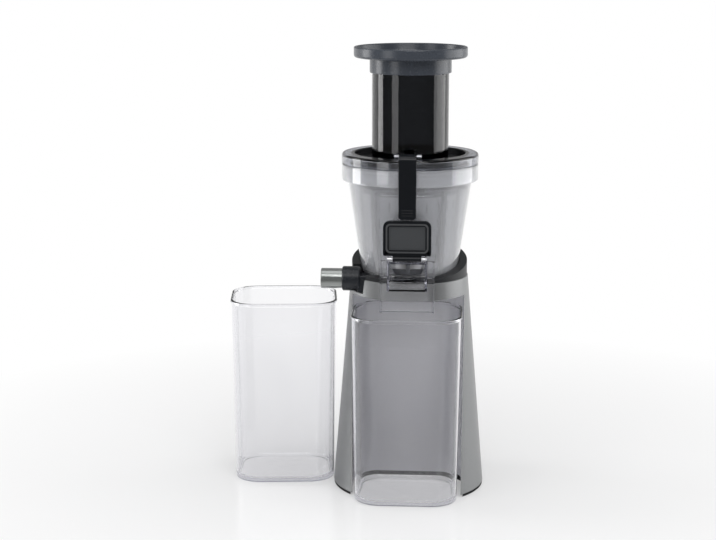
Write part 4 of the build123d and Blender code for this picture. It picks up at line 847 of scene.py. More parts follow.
    def cut(self, *tools: "Bench") -> "Bench":
        """Take the shape of other pieces away, and clear them from the bench."""
        return self._combine("DIFFERENCE", tools)

    def unite(self, *others: "Bench") -> "Bench":
        """Melt other pieces into this one."""
        return self._combine("UNION", others)

    def limit(self, *others: "Bench") -> "Bench":
        """Keep only what lies inside other pieces too."""
        return self._combine("INTERSECT", others)

    def _combine(self, operation: str, tools: Sequence["Bench"]) -> "Bench":
        """Apply one Boolean per tool.

        Args:
            operation: Blender's name of the Boolean.
            tools: the other pieces, which go with it.

        Returns:
            The bench, for the next step.
        """
        for tool in tools:
            tool.tidy()
            self.modify("BOOLEAN", operation=operation, object=tool.piece, solver="EXACT")
            bpy.data.objects.remove(tool.piece)
        return self

    def turn(self, degrees: float, axis: str, place: Point) -> "Bench":
        """Turn the whole piece about an axis through the origin, then move it.

        Args:
            degrees: how far it turns.
            axis: X, Y or Z.
            place: where the origin moves to.

        Returns:
            The bench, for the next step.
        """
        piece = self.object_mode()
        piece.rotation_euler["XYZ".index(axis)] = math.radians(degrees)
        piece.location = tuple(part * MM for part in place)
        bpy.ops.object.transform_apply(location=True, rotation=True, scale=True)
        return self

    def done(self, smooth: float = 35.0) -> bpy.types.Object:
        """Shade the piece and take it off the bench.

        Args:
            smooth: edges flatter than this angle are shaded smooth.

        Returns:
            The finished piece.
        """
        self.tidy()
        bpy.ops.object.shade_smooth_by_angle(angle=math.radians(smooth))
        piece = self.object_mode()
        self.modify("WEIGHTED_NORMAL", keep_sharp=True)
        return piece


def turned(name: str, section: Sequence[tuple[float, float]], sides: int = 128,
           centre: tuple = (0.0, 0.0)) -> Bench:
    """Ring-shaped piece drawn from its closed section, round an upright axis."""
    bench = Bench(name).ring(section[0][0], section[0][1], sides, centre)
    return bench.climb(section[1:]).bridge()


def rod(name: str, radius: float, length: float, sides: int = 48, edge: float = 0.3) -> Bench:
    """Solid rod along X with its middle at the origin and soft ends.

    Args:
        name: name of the piece.
        radius: its radius.
        length: its length.
        sides: faces round it.
        edge: size of its soft ends.

    Returns:
        The rod, on its bench.
    """
    half = length / 2
    bench = Bench(name).ring(radius - edge, -half, sides)
    bench.climb([(radius, -half + edge), (radius, half - edge), (radius - edge, half)]).fill()
    return bench.turn(90.0, "Y", (0.0, 0.0, 0.0))


def drum(name: str, radius: float, low: float, high: float, centre: tuple = (0.0, 0.0),
         wide: float | None = None, sides: int = 48) -> Bench:
    """Upright solid of round section, with another radius at its top where one is given."""
    bench = Bench(name).ring(radius, low, sides, centre)
    return bench.climb([(wide or radius, high)]).fill()


def block(name: str, low: Point, high: Point) -> Bench:
    """Block between two corners, as a start or a cutting tool.

    Args:
        name: name of the piece.
        low, high: two opposite corners.

    Returns:
        The block, on its bench.
    """
    half = [(b - a) / 2 for a, b in zip(low, high)]
    middle = [(b + a) / 2 for a, b in zip(low, high)]
    bench = Bench(name).slab(half[0], half[1], low[2], centre=(middle[0], middle[1]))
    return bench.raise_faces((0.0, 0.0, high[2] - low[2]))


# ------------------------------------------------------------------ sub-assemblies
class Buildable(Protocol):
    """What models a group of pieces and mounts them."""

    def build(self) -> None:
        """Model, dress and mount the pieces."""


@dataclass
class Assembly:
    """Pieces that ride on one body."""

    body: str

    def mount(self, bench: Bench, paint: Palette, *nodes: str, smooth: float = 35.0) -> bpy.types.Object:
        """Finish a piece, give it its paint and hand it to the frame.

        Args:
            bench: the piece.
            paint: its finish, named as the record's slot is.
            nodes: CAD nodes that it stands for.
            smooth: edges flatter than this angle are shaded smooth.

        Returns:
            The finished piece.
        """
        piece = bench.done(smooth)
        piece.data.materials.clear()
        piece.data.materials.append(paint.value.material())
        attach(piece, self.body)
        if nodes:
            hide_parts(*nodes)
        LOG.info("%s modelled, %d faces", piece.name, len(piece.data.polygons))
        return piece

    @staticmethod
    def touch_up(piece: bpy.types.Object, paint: Palette, test: Callable[[Vector], bool]) -> None:
        """Give some faces another grade of the finish; the grades in use paint the shade in the lid's recess
        and the sheen of the cap's dish.

        Args:
            piece: the mounted piece.
            paint: the other grade.
            test: says whether a face counts, by its middle in millimetres.
        """
        piece.data.materials.append(paint.value.material())
        for face in piece.data.polygons:
            if test(face.center / MM):
                face.material_index = 1


@dataclass
class HopperTray(Assembly):
    """Feeding tray: a shallow dish with a rolled rim on a neck."""

    body: str = "tray"
    neck: tuple[float, float] = (36.1, 38.1)
    throat: float = 33.3
    rim: tuple[float, float] = (50.3, 52.9)
    dish_foot: float = 48.6
    neck_low: float = 396.0
    seat: float = 409.2
    under: float = 410.0
    floor: float = 411.4
    top: float = 420.0

    def build(self) -> None:
        """Draw the dish from its section."""
        section = outline([
            Corner(self.neck[0], self.neck_low, 0.4), Corner(self.neck[1], self.neck_low, 0.7),
            Corner(self.neck[1], self.under, 1.5), Corner(self.rim[1], self.under, 2.6),
            Corner(self.rim[1], self.top, 1.25), Corner(self.rim[0], self.top, 1.25),
            Corner(self.dish_foot, self.floor, 3.5), Corner(self.throat, self.floor, 1.2),
            Corner(self.throat, self.seat), Corner(self.neck[0], self.seat),
        ], steps=5)
        self.mount(turned("hopper_tray_dish", section), Palette.TRAY, "hopper_tray")


@dataclass
class FeedTube(Assembly):
    """Tall smoked tube with its flange."""

    body: str = "lid"
    radius: float = 35.9
    bore: float = 33.3
    flange: float = 51.95
    flange_thick: float = 2.6
    flange_fade: float = 0.5
    low: float = 312.6
    top: float = 409.0

    def build(self) -> None:
        """Draw tube and flange from one section."""
        section = outline([
            Corner(self.bore, self.low, 0.6), Corner(self.flange, self.low, 0.4),
            Corner(self.flange, self.low + self.flange_thick, 0.8),
            Corner(self.radius, self.low + self.flange_thick, 2.4),
            Corner(self.radius, self.top, 0.9), Corner(self.bore, self.top, 0.9),
        ])
        tube = self.mount(turned("feed_tube_wall", section, 160), Palette.SMOKE_DARK, "feed_tube")
        # Painted shade: the flange's faces in the lid's recess get an opaque, low-gloss black copy of the
        # smoke.
        brim = self.low + self.flange_thick + self.flange_fade
        self.touch_up(tube, Palette.FLANGE, lambda middle: middle.z < brim)


@dataclass
class LidRing(Assembly):
    """Ring that closes the bowl, with the two lugs of the lock arm."""

    body: str = "lid"
    outer: float = COLLAR_R
    skirt: float = 61.8
    plug: tuple[float, float] = (52.0, 54.6)
    ledge: float = 48.0
    low: float = 312.2
    top: float = 321.5
    roof: float = 319.1
    ledge_levels: tuple[float, float] = (310.6, 312.6)
    plug_low: float = 302.0
    groove: tuple[float, float, float] = (53.6, 304.8, 307.2)
    lug_x: float = 10.4
    lug_half: float = 2.0
    lug_eye: float = 2.8
    lug_rounding: float = 0.98
    lug_sunk: float = 1.2
    bore_past: float = 0.9
    hinge: tuple[float, float] = LOCK_HINGE

    def build(self) -> None:
        """Draw the ring from its section and melt the lugs into it."""
        ring = turned("lid_ring_body", outline([
            Corner(self.outer, self.low, 0.5), Corner(self.outer, self.top, 2.2),
            Corner(self.plug[0], self.top, 1.0), Corner(self.plug[0], self.ledge_levels[1], 0.4),
            Corner(self.ledge, self.ledge_levels[1], 0.4), Corner(self.ledge, self.ledge_levels[0], 0.4),
            Corner(self.plug[0], self.ledge_levels[0]), Corner(self.plug[0], self.plug_low, 0.6),
            Corner(self.plug[1], self.plug_low, 0.8), Corner(self.plug[1], self.groove[1]),
            Corner(self.groove[0], self.groove[1]), Corner(self.groove[0], self.groove[2]),
            Corner(self.plug[1], self.groove[2]), Corner(self.plug[1], self.roof, 0.8),
            Corner(self.skirt, self.roof, 0.8), Corner(self.skirt, self.low, 0.5),
        ]), 160)
        lid = self.mount(ring.unite(*(self._lug(side) for side in (-1, 1))), Palette.SMOKE_LID, "lid_ring")
        # Painted shade: the bore's faces inside the lid's recess are painted near-black.
        reach, floor = self.plug[0] + self.bore_past, self.ledge_levels[1]
        self.touch_up(lid, Palette.LID_BORE, lambda middle: math.hypot(middle.x, middle.y) < reach
                      and floor < middle.z < self.top - 0.05)

    def _lug(self, side: int) -> Bench:
        """Rounded lug on one side of the lock arm.

        Args:
            side: -1 for the left one, 1 for the right one.

        Returns:
            The lug.
        """
        hinge_y, hinge_z = self.hinge
        foot = self.top - self.lug_sunk
        lug = Bench("lug").slab(self.lug_half, self.lug_eye, foot, centre=(side * self.lug_x, hinge_y))
        lug.raise_faces((0.0, 0.0, hinge_z + self.lug_eye - foot))
        lug.pick(Element.EDGE, lambda middle: middle.z > hinge_z and abs(middle.x - side * self.lug_x) < NEAR
                 and abs(middle.y - hinge_y) > 1.0)
        lug.bevel(self.lug_eye * self.lug_rounding, 8)
        return lug


@dataclass
class LockArm(Assembly):
    """Lever over the lid's edge, hinged between the lid's lugs."""

    body: str = "lock"
    half: float = 8.0
    thick: float = 2.8
    hinge: tuple[float, float] = LOCK_HINGE
    eye: float = 2.35
    top: float = 326.6
    front: float = -67.8
    knee: float = 5.0
    tip: float = 268.2
    tip_round: float = 3.0
    edge: float = 0.55
    start: float = 1.0
    bend_steps: int = 8
    grips: int = 3
    grip_pitch: float = 2.4
    grip_up: float = 4.0
    grip_radius: float = 0.7
    grip_margin: float = 2.4
    grip_out: float = 0.25

    def build(self) -> None:
        """Extrude the strap's edge along its way, thicken it and add the hinge's eye."""
        hinge_y, hinge_z = self.hinge
        middle = (0.0, hinge_y - self.start)
        strap = Bench("lock_arm_strap").slab(self.half, self.start, self.top, centre=middle)
        strap.pick(Element.EDGE, lambda middle: middle.y < hinge_y - 2 * self.start + NEAR)
        for y, z in self._way():
            self._reach(strap, y, z)
        strap.pick(Element.CORNER, lambda place: place.z < self.tip + NEAR)
        strap.bevel(self.tip_round, 6, corners=True)
        strap.tidy()
        strap.wall(self.thick).soften(self.edge, 3)
        eye = rod("eye", self.eye, 2 * self.half - 0.1).turn(0.0, "X", (0.0, hinge_y, hinge_z))
        strap.unite(eye).cut(*(self._groove(number) for number in range(self.grips)))
        self.mount(strap, Palette.GLOSS_BLACK, "lock_arm")

    def _way(self) -> list[tuple[float, float]]:
        """(y, z) of the strap's outer face from the hinge over the knee to the tip.

        Returns:
            The way's points, in order.
        """
        way = []
        for step in range(self.bend_steps + 1):
            angle = math.pi / 2 * step / self.bend_steps
            way.append((self.front + self.knee * (1 - math.sin(angle)),
                        self.top - self.knee * (1 - math.cos(angle))))
        return way + [(self.front, self.tip)]

    @staticmethod
    def _reach(strap: Bench, y: float, z: float) -> None:
        """Extrude the strap's free edge to a new place in its side view.

        Args:
            strap: the strap.
            y, z: the edge's new place.
        """
        mesh = bmesh.from_edit_mesh(strap.piece.data)
        free = [corner.co for corner in mesh.verts if corner.select]
        now = sum(free, Vector()) / len(free)
        way = (0.0, y * MM - now.y, z * MM - now.z)
        bpy.ops.mesh.extrude_edges_move(TRANSFORM_OT_translate={"value": way})

    def _groove(self, number: int) -> Bench:
        """Grip line across the strap's lower end.

        Args:
            number: counts the grip lines from the tip up.

        Returns:
            The cutting tool.
        """
        z = self.tip + self.grip_up + number * self.grip_pitch
        groove = rod("groove", self.grip_radius, 2 * (self.half - self.grip_margin), sides=16, edge=0.2)
        return groove.turn(0.0, "X", (0.0, self.front - self.grip_out, z))


@dataclass
class SpoutCap(Assembly):
    """Drip-stop cap: a dished plate on a hinge barrel."""

    body: str = "cap"
    half_x: float = 21.9
    half_z: float = 16.05
    thick: float = 4.5
    border: float = 5.0
    back_border: float = 2.5
    dish: float = 1.4
    dish_draft: float = 0.985
    edge: float = 0.5
    corner: float = 6.0
    foot_corner: float = 1.5
    low: float = 234.8
    front: float = -66.7
    hinge: tuple[float, float] = CAP_HINGE
    barrel: float = 2.5
    barrel_half: float = 13.1
    web_inset: tuple[float, float] = (0.2, 1.0)
    web_up: float = 1.0

    def build(self) -> None:
        """Shape the plate lying down, stand it up and melt the barrel into it."""
        plate = Bench("spout_cap_plate").slab(self.half_x, self.half_z, 0.0)
        plate.pick(Element.CORNER, lambda place: place.y > 0).bevel(self.corner, 8, corners=True)
        plate.pick(Element.CORNER, lambda place: place.y < 1 - self.half_z)
        plate.bevel(self.foot_corner, 4, corners=True)
        plate.pick(Element.FACE, lambda middle: True).raise_faces((0.0, 0.0, self.thick))
        plate.pick(Element.FACE, lambda middle: middle.z > self.thick - NEAR).inset(self.border)
        plate.raise_faces((0.0, 0.0, -self.dish), self.dish_draft)
        plate.pick(Element.FACE, lambda middle: middle.z < NEAR).inset(self.back_border)
        plate.raise_faces((0.0, 0.0, self.dish), self.dish_draft)
        plate.soften(self.edge, 3)
        plate.turn(90.0, "X", (0.0, self.front + self.thick, self.low + self.half_z))
        hinge_y, hinge_z = self.hinge
        barrel = rod("barrel", self.barrel, 2 * self.barrel_half).turn(0.0, "X", (0.0, hinge_y, hinge_z))
        before, behind = self.web_inset
        web = block("web", (-self.barrel_half, self.front + before, hinge_z),
                    (self.barrel_half, self.front + self.thick - behind, self.low + self.web_up))
        cap = self.mount(plate.unite(barrel, web), Palette.GLOSS_BLACK, "spout_cap")
        # The dish's floor: satin grain, with a painted sheen in its lighter colour.
        floor = self.front + self.dish
        self.touch_up(cap, Palette.CAP_FACE, lambda middle: abs(middle.y - floor) < 0.05)


@dataclass
class Jug(Assembly):
    """Clear rounded jug with a narrow lip."""

    body: str = "juice_jug"
    node: str = "juice_jug"
    place: tuple[float, float] = (-0.5, -40.5)
    turned_by: float = 0.0
    foot: tuple[float, float] = (48.0, 40.5)
    rim: tuple[float, float] = (50.5, 43.25)
    corner: float = 24.6
    height: float = 178.0
    wall: float = 2.0
    floor: float = 3.0
    foot_round: float = 2.5
    lip: float = 0.9
    lip_height: float = 2.6
    straight_up: float = 20.0
    sole_round: float = 4.0
    sole_rise: float = 14.0
    arc_steps: int = 5
    rim_steps: int = 8

    def build(self) -> None:
        """Climb round the wall from the underside over the lip to the floor inside."""
        jug = Bench(f"{self.node}_glass").slab(self.foot[0] - self.foot_round, self.foot[1] - self.foot_round,
                                               0.0, self.corner - self.foot_round, 12)
        for inward, level in self._way():
            share = min(1.0, max(0.0, level / self.height))
            half = [low + (high - low) * share - inward for low, high in zip(self.foot, self.rim)]
            jug.step(half[0], half[1], level)
        jug.fill()
        jug.turn(self.turned_by, "Z", (self.place[0], self.place[1], 0.0))
        self.mount(jug, Palette.CLEAR, self.node)

    def _way(self) -> list[tuple[float, float]]:
        """(distance in from the outer face, height) round the wall's section.

        Returns:
            The section's points, from the foot's rounding to the floor inside.
        """
        edge, sole, over = self.foot_round, self.sole_round, (self.wall + self.lip) / 2
        quarter = [math.pi / 2 * step / self.arc_steps for step in range(self.arc_steps + 1)]
        half_turn = [math.pi * step / self.rim_steps for step in range(1, self.rim_steps)]
        under = self.height - self.lip_height
        way = [(edge * (1 - math.sin(turn)), edge * (1 - math.cos(turn))) for turn in quarter[1:]]
        way += [(0.0, self.straight_up), (0.0, under - 0.8)]
        way += [(-self.lip * 0.5, under - 0.25), (-self.lip, under + 0.4)]
        way += [(-self.lip + over * (1 - math.cos(turn)), self.height - over * (1 - math.sin(turn)))
                for turn in half_turn]
        way += [(self.wall, self.height - over), (self.wall, self.floor + self.sole_rise)]
        way += [(self.wall + sole * (1 - math.cos(turn)), self.floor + sole * (1 - math.sin(turn)))
                for turn in quarter]
        return way


@dataclass
class PulpOutlet(Assembly):
    """Light outlet tube that the dark elbow carries."""

    body: str = "bowl"
    tube: tuple[float, float] = (7.5, 9.5)
    tube_reach: tuple[float, float] = (-82.0, -54.0)
    axis: tuple[float, float] = PULP_AXIS

    def build(self) -> None:
        """Draw the outlet tube lying down."""
        half = (self.tube_reach[1] - self.tube_reach[0]) / 2
        section = outline([
            Corner(self.tube[0], -half, 0.7), Corner(self.tube[1], -half, 0.7),
            Corner(self.tube[1], half, 0.3), Corner(self.tube[0], half, 0.3),
        ])
        tube = turned("pulp_tube_pipe", section, 96)
        tube.turn(90.0, "Y", (sum(self.tube_reach) / 2, *self.axis))
        self.mount(tube, Palette.OUTLET, "pulp_tube")


@dataclass
class BaseShell(Assembly):
    """Tapered housing with its niche for the juice jug."""

    body: str = "base"
    foot: tuple[float, float] = (72.2, 2.5)
    head: tuple[float, float] = (55.4, 206.0)
    wall: float = 2.4
    head_round: float = 1.2
    deck_low: float = 203.6
    ledge_low: float = 201.2
    ledge_wide: float = 2.4
    niche_half: tuple[float, float] = (51.2, 52.6)
    niche_back: float = 8.0
    niche_corner: float = 20.0
    niche_top: float = 190.0
    niche_soft: float = 1.0
    notch_low: float = 192.7
    switch_half: tuple[float, float] = (10.05, 6.55)
    gland_up: float = 16.0
    gland_hole: float = 7.05
    post: tuple[float, float, float] = (3.6, 6.55, 24.0)
    post_in: float = 5.0
    screw: float = 1.45
    screw_stop: float = 6.0
    rear_cut: float = 60.0
    rear_from: float = 0.6
    easing: float = 0.3

    def radius(self, level: float) -> float:
        """Outer radius of the housing at a height."""
        share = (level - self.foot[1]) / (self.head[1] - self.foot[1])
        return self.foot[0] + (self.head[0] - self.foot[0]) * share

    def build(self) -> None:
        """Turn the shell, add the posts, then open the niche, the notch and the rear holes."""
        wall, ledge = self.wall, self.wall + self.ledge_wide
        shell = turned("base_shell_skin", outline([
            Corner(self.foot[0] - wall, self.foot[1], 0.4), Corner(*self.foot, 0.6),
            Corner(*self.head, self.head_round), Corner(self.head[0] - wall, self.head[1], 0.4),
            Corner(self.radius(self.deck_low) - wall, self.deck_low),
            Corner(self.radius(self.deck_low) - ledge, self.deck_low),
            Corner(self.radius(self.ledge_low) - ledge, self.ledge_low),
            Corner(self.radius(self.ledge_low) - wall, self.ledge_low),
        ]), 192)
        shell.unite(*(self._post(angle) for angle in POST_ANGLES))
        shell.cut(self._niche(), self._notch(), *self._rear_holes())
        self.mount(shell, Palette.HOUSING, "base_shell", smooth=30.0)

    def _post(self, angle: float) -> Bench:
        """Screw post beside the wall, with its hole.

        Args:
            angle: its place round the wall, in degrees.

        Returns:
            The post.
        """
        out = self.radius(self.post[2]) - self.post_in
        turn = math.radians(angle)
        place = (out * math.cos(turn), out * math.sin(turn))
        post = drum("post", self.post[0], self.post[1], self.post[2], centre=place)
        return post.cut(drum("bore", self.screw, 0.0, self.post[2] - self.screw_stop, centre=place))

    def _niche(self) -> Bench:
        """Room for the juice jug, open to the front.

        Returns:
            The cutting tool.
        """
        front = -2 * self.foot[0]
        half_y = (self.niche_back - front) / 2
        room = Bench("niche").slab(self.niche_half[0], half_y, 0.0, self.niche_corner, 14,
                                   centre=(0.0, (front + self.niche_back) / 2))
        soft = self.niche_soft
        room.step(self.niche_half[1], half_y, self.niche_top - soft)
        eased = self.easing * soft
        room.step(self.niche_half[1] - eased, half_y - eased, self.niche_top - eased)
        return room.step(self.niche_half[1] - soft, half_y - soft, self.niche_top).fill()

    def _notch(self) -> Bench:
        """Notch that the pulp elbow lifts out of."""
        return block("notch", (-self.foot[0], PULP_NOTCH_Y[0], self.notch_low),
                     (0.0, PULP_NOTCH_Y[1], self.head[1] + PAST))

    def _rear_holes(self) -> list[Bench]:
        """Openings for the switch and the mains lead.

        Returns:
            The cutting tools.
        """
        half_x, half_z = self.switch_half
        start = self.rear_from * self.foot[0]
        switch = block("switch", (-half_x, start, SWITCH_UP - half_z),
                       (half_x, 2 * self.foot[0], SWITCH_UP + half_z))
        gland = drum("gland", self.gland_hole, 0.0, self.rear_cut)
        return [switch, gland.turn(-90.0, "X", (0.0, start, self.gland_up))]


@dataclass
class FootRing(Assembly):
    """Rubber foot: a C-shaped strip with a small lip on the ground."""

    body: str = "base"
    outer: float = 69.2
    lip: float = 71.8
    lip_high: float = 2.2
    lip_edge: float = 0.4
    wide: float = 9.0
    high: float = 4.0
    niche_half: float = 53.2
    niche_back: float = 10.0
    niche_corner: float = 20.0
    band: float = 4.5
    post_out: float = 65.4
    hole: float = 3.2

    def build(self) -> None:
        """Turn the outside, then cut the niche, the room inside and the screw holes."""
        foot = Bench("foot_ring_strip").ring(self.lip - self.lip_edge, 0.0, 160)
        foot.climb([(self.lip, self.lip_edge), (self.lip, self.lip_high - 2 * self.lip_edge),
                    (self.outer, self.lip_high), (self.outer, self.high)]).fill()
        foot.cut(self._niche(0.0))
        room = drum("room", self.outer - self.wide, -PAST, self.high + PAST, sides=128)
        holes = [drum("hole", self.hole, -PAST, self.high + PAST,
                      centre=(self.post_out * math.cos(turn), self.post_out * math.sin(turn)))
                 for turn in (math.radians(angle) for angle in POST_ANGLES)]
        self.mount(foot.cut(room.cut(self._niche(self.band)), *holes), Palette.FOOT, "foot_ring")

    def _niche(self, grow: float) -> Bench:
        """Plan of the niche, grown, as a cutting tool.

        Args:
            grow: how much wider the plan gets.

        Returns:
            The cutting tool.
        """
        front, back = -2 * self.outer, self.niche_back + grow
        niche = Bench("niche").slab(self.niche_half + grow, (back - front) / 2, -2 * PAST, self.niche_corner,
                                    10, centre=(0.0, (back + front) / 2))
        return niche.raise_faces((0.0, 0.0, self.high + 4 * PAST))


@dataclass
class DeckCollar(Assembly):
    """Black collar round the bowl's foot, low in front and high at the rear."""

    body: str = "base"
    outer: float = 54.6
    room: tuple[float, float] = (45.46, 49.3)
    low: float = 206.0
    front_top: float = 207.0
    rear_top: float = 232.0
    slots: Sequence[float] = (30.0, 150.0, 270.0)
    clear: float = 25.0
    slot_half: float = 3.9
    slot_reach: float = 51.5
    edge: float = 0.4

    def build(self) -> None:
        """Turn a full ring, slice its top off aslant and open slots and notch."""
        spare = PAST * (self.room[1] - self.room[0]) / (self.rear_top - self.low)
        ring = turned("deck_collar_ring", [
            (self.room[0], self.low), (self.outer, self.low),
            (self.outer, self.rear_top + PAST), (self.room[1] + spare, self.rear_top + PAST),
        ], 144)
        ring.tidy()
        rise, run = self.rear_top - self.front_top, 2 * self.outer
        middle = (self.front_top + self.rear_top) / 2
        ring.slice((0.0, 0.0, middle), (0.0, -rise, run)).bridge()
        ring.pick(Element.EDGE, lambda place: abs(place.z - middle - place.y * rise / run) < 0.02)
        ring.bevel(self.edge, 2).tidy()
        notch = block("notch", (-2 * self.outer, PULP_NOTCH_Y[0], self.low - PAST),
                      (-self.clear, PULP_NOTCH_Y[1], self.rear_top + PAST))
        slots = [block("slot", (self.clear, -self.slot_half, self.low - PAST),
                       (self.slot_reach, self.slot_half, self.rear_top + PAST)).turn(angle, "Z", (0, 0, 0))
                 for angle in self.slots]
        self.mount(ring.cut(notch, *slots), Palette.BLACK, "deck_collar")


@dataclass
class Bowl(Assembly):
    """Tapered bowl with its wide collar, boss, front panel, keys and guide ribs."""

    body: str = "bowl"
    foot: tuple[float, float] = (45.3, 209.0)
    shoulder: tuple[float, float] = (58.0, 295.0)
    wall: float = 2.2
    floor: float = 3.0
    collar: tuple[float, float] = (COLLAR_R, 296.5)
    top: float = 312.0
    boss: tuple[float, float] = (8.0, 10.5)
    boss_top: float = 226.0
    panel: tuple[float, float] = (229.0, 289.0)
    panel_half: float = 28.5
    panel_proud: float = 1.6
    panel_sunk: float = 0.8
    panel_cut: float = 70.0
    panel_corner: float = 7.0
    keys: Sequence[tuple[float, float]] = ((30.0, 220.0), (150.0, 220.0), (270.0, 211.0))
    key_half: float = 3.5
    key_deep: float = 2.4
    key_sunk: float = 1.2
    window: tuple[float, float, float] = (16.5, 212.0, 227.0)
    window_y: tuple[float, float] = (-60.0, -42.0)
    guide: tuple[float, float, float] = (9.2, 299.0, 311.0)
    guide_half: float = 0.8
    guide_deep: float = 2.6
    guide_sunk: float = 1.5
    guide_edge: float = 0.35

    def radius(self, level: float) -> float:
        """Outer radius of the tapered wall at a height."""
        slope = (self.shoulder[0] - self.foot[0]) / (self.shoulder[1] - self.foot[1])
        return self.foot[0] + slope * (level - self.foot[1])

    def build(self) -> None:
        """Turn the shell, then add and open what isn't round."""
        wall, floor_top = self.wall, self.foot[1] + self.floor
        skirt, under = self.collar[0] - wall, self.top - wall
        mouth = self.shoulder[0] - wall
        shell = turned("bowl_shell", outline([
            Corner(self.boss[0], self.foot[1], 0.4), Corner(*self.foot, 1.2), Corner(*self.shoulder, 6.0),
            Corner(self.shoulder[0], under, 0.6), Corner(skirt, under, 0.6),
            Corner(skirt, self.collar[1], 0.5), Corner(*self.collar, 0.9),
            Corner(self.collar[0], self.top, 0.9), Corner(mouth, self.top, 0.9),
            Corner(mouth, self.shoulder[1], 6.0), Corner(self.radius(floor_top) - wall, floor_top, 1.8),
            Corner(self.boss[1], floor_top, 1.2), Corner(self.boss[1], self.boss_top, 0.7),
            Corner(self.boss[0], self.boss_top, 0.5),
        ]), 160)
        shell.unite(self._panel(), *self._keys(), *(self._guide(side) for side in (-1, 1)))
        half, low, high = self.window
        window = block("window", (-half, self.window_y[0], low), (half, self.window_y[1], high))
        port = drum("port", PULP_PORT_R, self.foot[1] - PAST, floor_top + PAST, centre=PULP_PORT)
        self.mount(shell.cut(window, port), Palette.SMOKE, "bowl", smooth=32.0)

    def _panel(self) -> Bench:
        """Raised panel that follows the front wall, rounded at its upper corners.

        Returns:
            The panel.
        """
        low, high = self.panel
        proud, sunk = self.panel_proud, self.panel_sunk
        band = turned("panel", outline([
            Corner(self.radius(low) - sunk, low), Corner(self.radius(low) + proud, low, 0.4),
            Corner(self.radius(high) + proud, high, 0.9), Corner(self.radius(high) - sunk, high),
        ]), 160)
        frame = Bench("frame").slab(self.panel_half, 2 * (high - low), 0.0)
        frame.pick(Element.CORNER, lambda place: place.y > 0).bevel(self.panel_corner, 8, corners=True)
        frame.pick(Element.FACE, lambda middle: True).raise_faces((0.0, 0.0, self.panel_cut))
        frame.turn(90.0, "X", (0.0, 0.0, high - 2 * (high - low)))
        return band.limit(frame)

    def _keys(self) -> list[Bench]:
        """Keys round the foot that drop into the deck collar's slots.

        Returns:
            The keys.
        """
        return [block("key", (self.foot[0] - self.key_sunk, -self.key_half, self.foot[1]),
                      (self.radius(top) + self.key_deep, self.key_half, top)).turn(angle, "Z", (0, 0, 0))
                for angle, top in self.keys]

    def _guide(self, side: int) -> Bench:
        """Rib on the collar beside the lock arm.

        Args:
            side: -1 for the left one, 1 for the right one.

        Returns:
            The rib.
        """
        out, low, high = self.guide
        rib = block("guide", (side * out - self.guide_half, -self.collar[0] - self.guide_deep, low),
                    (side * out + self.guide_half, -self.collar[0] + self.guide_sunk, high))
        return rib.soften(self.guide_edge, 2)


@dataclass
class JuiceSpout(Assembly):
    """Clear channel with a bent floor, and the two ears of the drip-stop cap."""

    body: str = "bowl"
    half: float = 18.5
    wall: float = 2.0
    back: float = -44.0
    bend: float = -57.0
    tip: float = -66.7
    roof: float = 229.0
    level: float = 209.6
    tip_low: float = 201.5
    ear_x: float = 15.5
    ear_half: float = 2.0
    ear_sunk: float = 1.0
    hinge: tuple[float, float] = CAP_HINGE
    eye: float = 2.5
    ear_foot: tuple[float, float] = (-66.2, -62.0)
    pin: float = 1.12
    skin: tuple[float, float] = (45.35, 48.3)
    skin_levels: tuple[float, float] = (209.0, 229.0)
    hollow_back: float = 2.0
    hollow_past: float = 5.0
    edge: float = 0.5
    ear_edge: float = 0.4

    def build(self) -> None:
        """Draw the channel out of its rear section, hollow it and add the ears."""
        channel = self._channel("juice_spout_channel", 0.0)
        channel.unite(*(self._ear(side) for side in (-1, 1)))
        hollow = self._channel("hollow", self.wall)
        pin = rod("pin", self.pin, 60.0).turn(0.0, "X", (0.0, *self.hinge))
        bowl = drum("bowl", self.skin[0], *self.skin_levels, wide=self.skin[1], sides=160)
        self.mount(channel.cut(hollow, pin, bowl), Palette.CLEAR, "juice_spout")

    def _channel(self, name: str, inward: float) -> Bench:
        """Channel seen from its mouth, drawn lying and stood up at the end.

        Args:
            name: name of the piece.
            inward: how far its walls lie inside the outer ones.

        Returns:
            The channel.
        """
        low, high = self.level + inward, self.roof - inward
        middle = (low + high) / 2
        start = self.back + (self.hollow_back if inward else 0.0)
        channel = Bench(name).slab(self.half - inward, (high - low) / 2, 0.0)
        channel.raise_faces((0.0, 0.0, start - self.bend)).raise_faces((0.0, 0.0, self.bend - self.tip))
        mouth = start - self.tip
        channel.pick(Element.CORNER, lambda place: place.z > mouth - NEAR and place.y < 0)
        channel.shift((0.0, self.tip_low - self.level, 0.0))
        if inward:
            channel.pick(Element.FACE, lambda place: place.z > mouth - NEAR)
            channel.raise_faces((0.0, 0.0, self.hollow_past))
        else:
            channel.soften(self.edge, 3)
        return channel.turn(90.0, "X", (0.0, start, middle))

    def _ear(self, side: int) -> Bench:
        """Ear with a round head, on the channel's roof.

        Args:
            side: -1 for the left one, 1 for the right one.

        Returns:
            The ear.
        """
        x = side * self.ear_x
        head = rod("ear", self.eye, 2 * self.ear_half, edge=self.ear_edge).turn(0.0, "X", (x, *self.hinge))
        foot = block("foot", (x - self.ear_half, self.ear_foot[0], self.roof - self.ear_sunk),
                     (x + self.ear_half, self.ear_foot[1], self.hinge[1]))
        return head.unite(foot.soften(self.ear_edge, 2))


